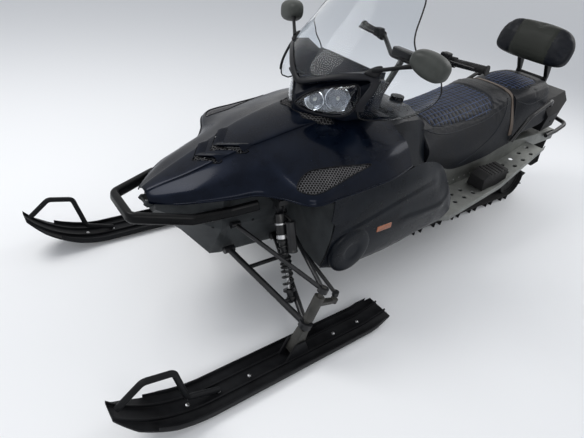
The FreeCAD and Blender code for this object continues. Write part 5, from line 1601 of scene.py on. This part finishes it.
shockValues = {
    "top": (868, 262, 541),
    "bottom": (874, 429, 203.5),
    "springRadius": 24.0,
    "wire": 4.6,
    "turns": 8.5,
    # radius and distance along the damper, in mm
    "body": [(0, 20), (10, 20), (21, 26), (22.5, 32), (22.5, 100), (21.5, 104), (21.5, 128), (24.5, 130),
             (24.5, 138), (17, 140), (16, 235), (13.5, 238)],
    "shaft": [(6.5, 236), (6.5, 330), (0, 330)],
    "collar": [(22.6, 106), (24.8, 107), (24.8, 122), (22.6, 123)],
    "band": [(22.9, 60), (24.2, 61), (24.2, 67), (22.9, 68)],
    # radius, then share of the damper's length
    "cup": [(10, 0.885), (24.5, 0.888), (24.5, 0.905), (14, 0.915), (11, 0.965), (0, 0.965)],
    "eye": [(8, -8), (15.5, -8), (16, -6), (16, 6), (15.5, 8), (8, 8)],
    "bolt": [(0, -19.5), (8.5, -19.5), (9.2, -18), (9.2, -12.5), (5, -12.5), (5, 12.5), (9.2, 12.5),
             (9.2, 19), (0, 19)],
    # the reservoir's upper end, the way it lies and its profile
    "tankEnd": (856, 326, 512),
    "tankWay": (4, 52, -112),
    "tank": [(0, 0), (15, 0), (18.5, 3), (18.5, 105), (17, 112), (18.5, 116), (18.5, 122), (10, 124),
             (0, 124)],
    "hoseRadius": 4.5,
}


def makeShock(values):
    top = np.array(values["top"]) * mm
    low = np.array(values["bottom"]) * mm
    axis = low - top
    length = np.linalg.norm(axis)
    axis /= length
    side = np.cross(axis, (1.0, 0.0, 0.0))
    side /= np.linalg.norm(side)
    other = np.cross(axis, side)
    wire = values["wire"] * mm
    radius = values["springRadius"] * mm - wire
    coil = []
    turns = values["turns"]
    for k in range(int(turns * 20) + 1):
        angle = 2 * math.pi * k / 20
        share = k / (turns * 20)
        # the end turns lie closer together
        along = 0.36 + 0.52 * (share + 0.06 * math.sin(2 * math.pi * share))
        around = math.cos(angle) * side + math.sin(angle) * other
        coil.append(top + axis * (length * along) + radius * around)
    spring = roundBar("shockSpring", coil, wire, 1, 10)
    parts = [lathePiece("shockBody", inMetres(values["body"]), top, axis, 36)]
    shaft = lathePiece("shockShaft", inMetres(values["shaft"]), top, axis, 24)
    cup = [(r * mm, length * share) for r, share in values["cup"]]
    parts.append(lathePiece("shockCup", cup, top, axis, 36))
    collar = lathePiece("shockCollar", inMetres(values["collar"]), top, axis, 36)
    band = lathePiece("shockBand", inMetres(values["band"]), top, axis, 36)
    for place in (top, low):
        parts.append(lathePiece("shockEye", inMetres(values["eye"]), place, (1, 0, 0), 28))
        parts.append(lathePiece("shockBolt", inMetres(values["bolt"]), place, (1, 0, 0), 6))
    start = np.array(values["tankEnd"]) * mm
    parts.append(lathePiece("shockReservoir", inMetres(values["tank"]), start, values["tankWay"], 32))
    leave = top + axis * 0.03
    line = [leave, leave + (-0.012, 0.02, 0.004),
            start + (0.0, -0.004, 0.006), start + (0.0, 0.003, -0.006)]
    hose = roundBar("shockHose", line, values["hoseRadius"] * mm, 8, 10)
    whole = joinPieces("shockLeft", parts)
    shadeByAngle(whole, 40.0)
    for piece, material, name in ((whole, tubeCoat, "shockRight"), (spring, tubeCoat, "shockSpringRight"),
                                  (shaft, zincSteel, "shockShaftRight"),
                                  (collar, zincSteel, "shockCollarRight"),
                                  (band, zincSteel, "shockBandRight"), (hose, softRubber, "shockHoseRight")):
        dressPair(piece, name, material, "chassis")
    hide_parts("ski_shocks")


makeShock(shockValues)
print("dampers made")


# bolts, rivets and screws, laid on the parts' own faces

fastenerRows = [
    # node, ways the heads look, head radius, head height, sides, material, body, slot, places
    # along x the places are y and z; along y they are x and z; along z they are x and y
    ("tunnel", ("+y", "-y"), 4.2, 1.9, 14, zincSteel, "chassis", "tunnel_aluminium",
     [(-110 - 50 * k, 338 + 4.0 * k) for k in range(12)]),
    ("belly_pan", ("+y", "-y"), 6.0, 2.2, 18, blackAbs, "chassis", "pan_plastic",
     [(1060, 570), (1090, 445), (900, 420)]),
    ("ski_left", ("+z",), 6.0, 3.4, 6, zincSteel, "ski_group_left", "ski_plastic",
     [(x, 545) for x in (560, 700, 1120, 1250, 1370)]),
    ("ski_right", ("+z",), 6.0, 3.4, 6, zincSteel, "ski_group_right", "ski_plastic",
     [(x, -545) for x in (560, 700, 1120, 1250, 1370)]),
    ("tail_cowl", ("+y", "-y"), 5.5, 2.0, 18, blackAbs, "chassis", "black_plastic",
     [(-1330, 600), (-1440, 640)]),
    ("snow_flap", ("-x",), 5.0, 2.2, 18, zincSteel, "chassis", "ribbed_rubber",
     [(y, 470) for y in (-160, -80, 0, 80, 160)]),
    ("tank_cowl", ("+z",), 5.5, 2.0, 18, blackAbs, "chassis", "panel_plastic", [(60, 120), (60, -120)]),
]


def makeFasteners(way, node, radius, height, sides, material, body, slot, places):
    tree = treeOf(nodes[node])
    axis = "xyz".index(way[1])
    sign = 1.0 if way[0] == "+" else -1.0
    direction = Vector([-sign if k == axis else 0.0 for k in range(3)])
    if sides == 6:
        # a bolt's head on its washer
        profile = [(radius * 1.35, -0.6), (radius * 1.35, 0.8), (radius, 0.8), (radius, height),
                   (radius * 0.86, height * 1.1), (0, height * 1.1)]
    else:
        profile = [(radius, -0.6), (radius, height * 0.35), (radius * 0.8, height * 0.8),
                   (radius * 0.4, height), (0, height)]
    heads = []
    for place in places:
        start = [p * mm for p in place]
        start.insert(axis, 2.2 * sign)
        hit = tree.ray_cast(Vector(start), direction)
        if hit[0] is None:
            print("no face for a fastener", node, place)
            continue
        normal = hit[1] if hit[1].dot(direction) < 0 else -hit[1]
        heads.append(lathePiece("head", inMetres(profile), tuple(hit[0]), tuple(normal), sides))
    side = {"+y": "Left", "-y": "Right"}.get(way, "")
    group = joinPieces(node + side + "Fasteners", heads)
    shadeByAngle(group, 30.0)
    dress(group, material, body)


for node, ways, *rest in fastenerRows:
    for way in ways:
        makeFasteners(way, node, *rest)
print("fasteners set")


# cockpit: two dials with plain ticks and needles, ribs on the grips

cockpitValues = {
    "dials": [(343.7, 45.0, 916.0, -52.0), (343.7, -45.0, 916.0, 34.0)],
    "dialRadius": 33.0,
    "ticks": 11,
    "gripInner": (-12.0, 190.0, 1034.0),
    "gripEnd": (-40.0, 369.0, 1046.0),
    "gripRadius": 16.0,
    "ribPitch": 7.5,
    "ribs": 17,
}


def makeDial(number, values, dial):
    x, y, z, needleAt = dial
    r = values["dialRadius"]
    place = (x * mm, y * mm, z * mm)
    back = (-1.0, 0.0, 0.0)
    disc = [(0, -0.4), (r, -0.4), (r, 0.3), (0, 0.3)]
    face = lathePiece(f"dialFace{number}", inMetres(disc), place, back, 48)
    dress(face, dashAbs, "hood_group")
    bezel = [(r + 4.5, -0.4), (r + 4.5, 3.0), (r + 3.2, 4.2), (r + 1.2, 4.2), (r, 2.6), (r, -0.4)]
    ring = lathePiece(f"dialBezel{number}", inMetres(bezel), place, back, 48)
    shadeByAngle(ring, 40.0)
    dress(ring, smokeChrome, "hood_group")
    marks = []
    for k in range(values["ticks"]):
        angle = math.radians(-130 + 260 * k / (values["ticks"] - 1))
        way = Vector((0.0, math.sin(angle), math.cos(angle)))
        long = 6.5 if k % 5 == 0 else 4.0
        root = Vector(place) + Vector((-0.0004, 0, 0))
        tick = [tuple(root + way * (r - 4 - long) * mm), tuple(root + way * (r - 4) * mm)]
        marks.append(roundBar("tick", tick, 0.55 * mm, 1, 6))
    dress(joinPieces(f"dialTicks{number}", marks), dialPrint, "hood_group")
    angle = math.radians(needleAt)
    way = Vector((0.0, math.sin(angle), math.cos(angle)))
    start = Vector(place) + Vector((-0.0016, 0, 0))
    line = [tuple(start - way * 4 * mm), tuple(start + way * (r - 9) * mm)]
    hand = roundBar("hand", line, [1.3 * mm, 0.5 * mm], 1, 8)
    hubProfile = [(0, -1.6), (4.2, -1.6), (4.2, 1.0), (3.0, 1.8), (0, 1.8)]
    hub = lathePiece("hub", inMetres(hubProfile), tuple(start), back, 24)
    dress(joinPieces(f"dialNeedle{number}", [hand, hub]), needlePaint, "hood_group")


def makeGripRibs(values):
    inner = Vector(values["gripInner"])
    end = Vector(values["gripEnd"])
    way = (inner - end).normalized()
    for side, name in ((1, "Left"), (-1, "Right")):
        rings = []
        for k in range(values["ribs"]):
            middle = end + way * (values["ribPitch"] * (k + 0.9))
            r = values["gripRadius"]
            profile = [(r - 0.4, -1.5), (r + 0.9, -1.1), (r + 1.1, 0.0), (r + 0.9, 1.1), (r - 0.4, 1.5)]
            place = (middle.x * mm, middle.y * side * mm, middle.z * mm)
            rings.append(lathePiece("rib", inMetres(profile), place, (way.x, way.y * side, way.z), 28))
        ribs = joinPieces("gripRibs" + name, rings)
        shadeByAngle(ribs, 50.0)
        dress(ribs, softRubber, "steering_column")


for number, dial in enumerate(cockpitValues["dials"]):
    makeDial(number, cockpitValues, dial)
makeGripRibs(cockpitValues)
print("cockpit trimmed")


# moulded and cast nodes keep their shape with rounded edges

softenedNodes = [
    # node, edge radius in mm, material, body, slot
    ("lamp_pod", 11.0, podAbs, "hood_group", "black_plastic"),
    ("tank_cowl", 14.0, panelAbs, "chassis", "panel_plastic"),
    ("tail_cowl", 12.0, blackAbs, "chassis", "black_plastic"),
    ("belly_pan", 4.0, panAbs, "chassis", "pan_plastic"),
    ("front_bumper", 7.0, bumperAbs, "chassis", "black_plastic"),
    ("passenger_footrests", 3.0, softRubber, "chassis", "ribbed_rubber"),
    ("fuel_cap", 1.6, blackAbs, "chassis", "black_plastic"),
    ("ski_left", 2.6, skiPolymer, "ski_group_left", "ski_plastic"),
    ("ski_right", 2.6, skiPolymer, "ski_group_right", "ski_plastic"),
    ("spindle_left", 3.0, castingPaint, "ski_group_left", "spindle_cast"),
    ("spindle_right", 3.0, castingPaint, "ski_group_right", "spindle_cast"),
    ("engine_block", 9.0, engineIron, "chassis", "engine_metal"),
    ("backrest_bracket", 2.0, tubeCoat, "chassis", "black_tube"),
    ("hand_levers", 1.2, blackAbs, "steering_column", "black_plastic"),
    ("instrument_panel", 3.0, blackAbs, "hood_group", "black_plastic"),
    ("snow_flap", 3.0, softRubber, "chassis", "ribbed_rubber"),
    ("tail_light", 3.0, redLens, "chassis", "tail_red"),
]
for node, radius, material, body, slot in softenedNodes:
    dress(rounded(node, radius * mm), material, body)
print("edges rounded")
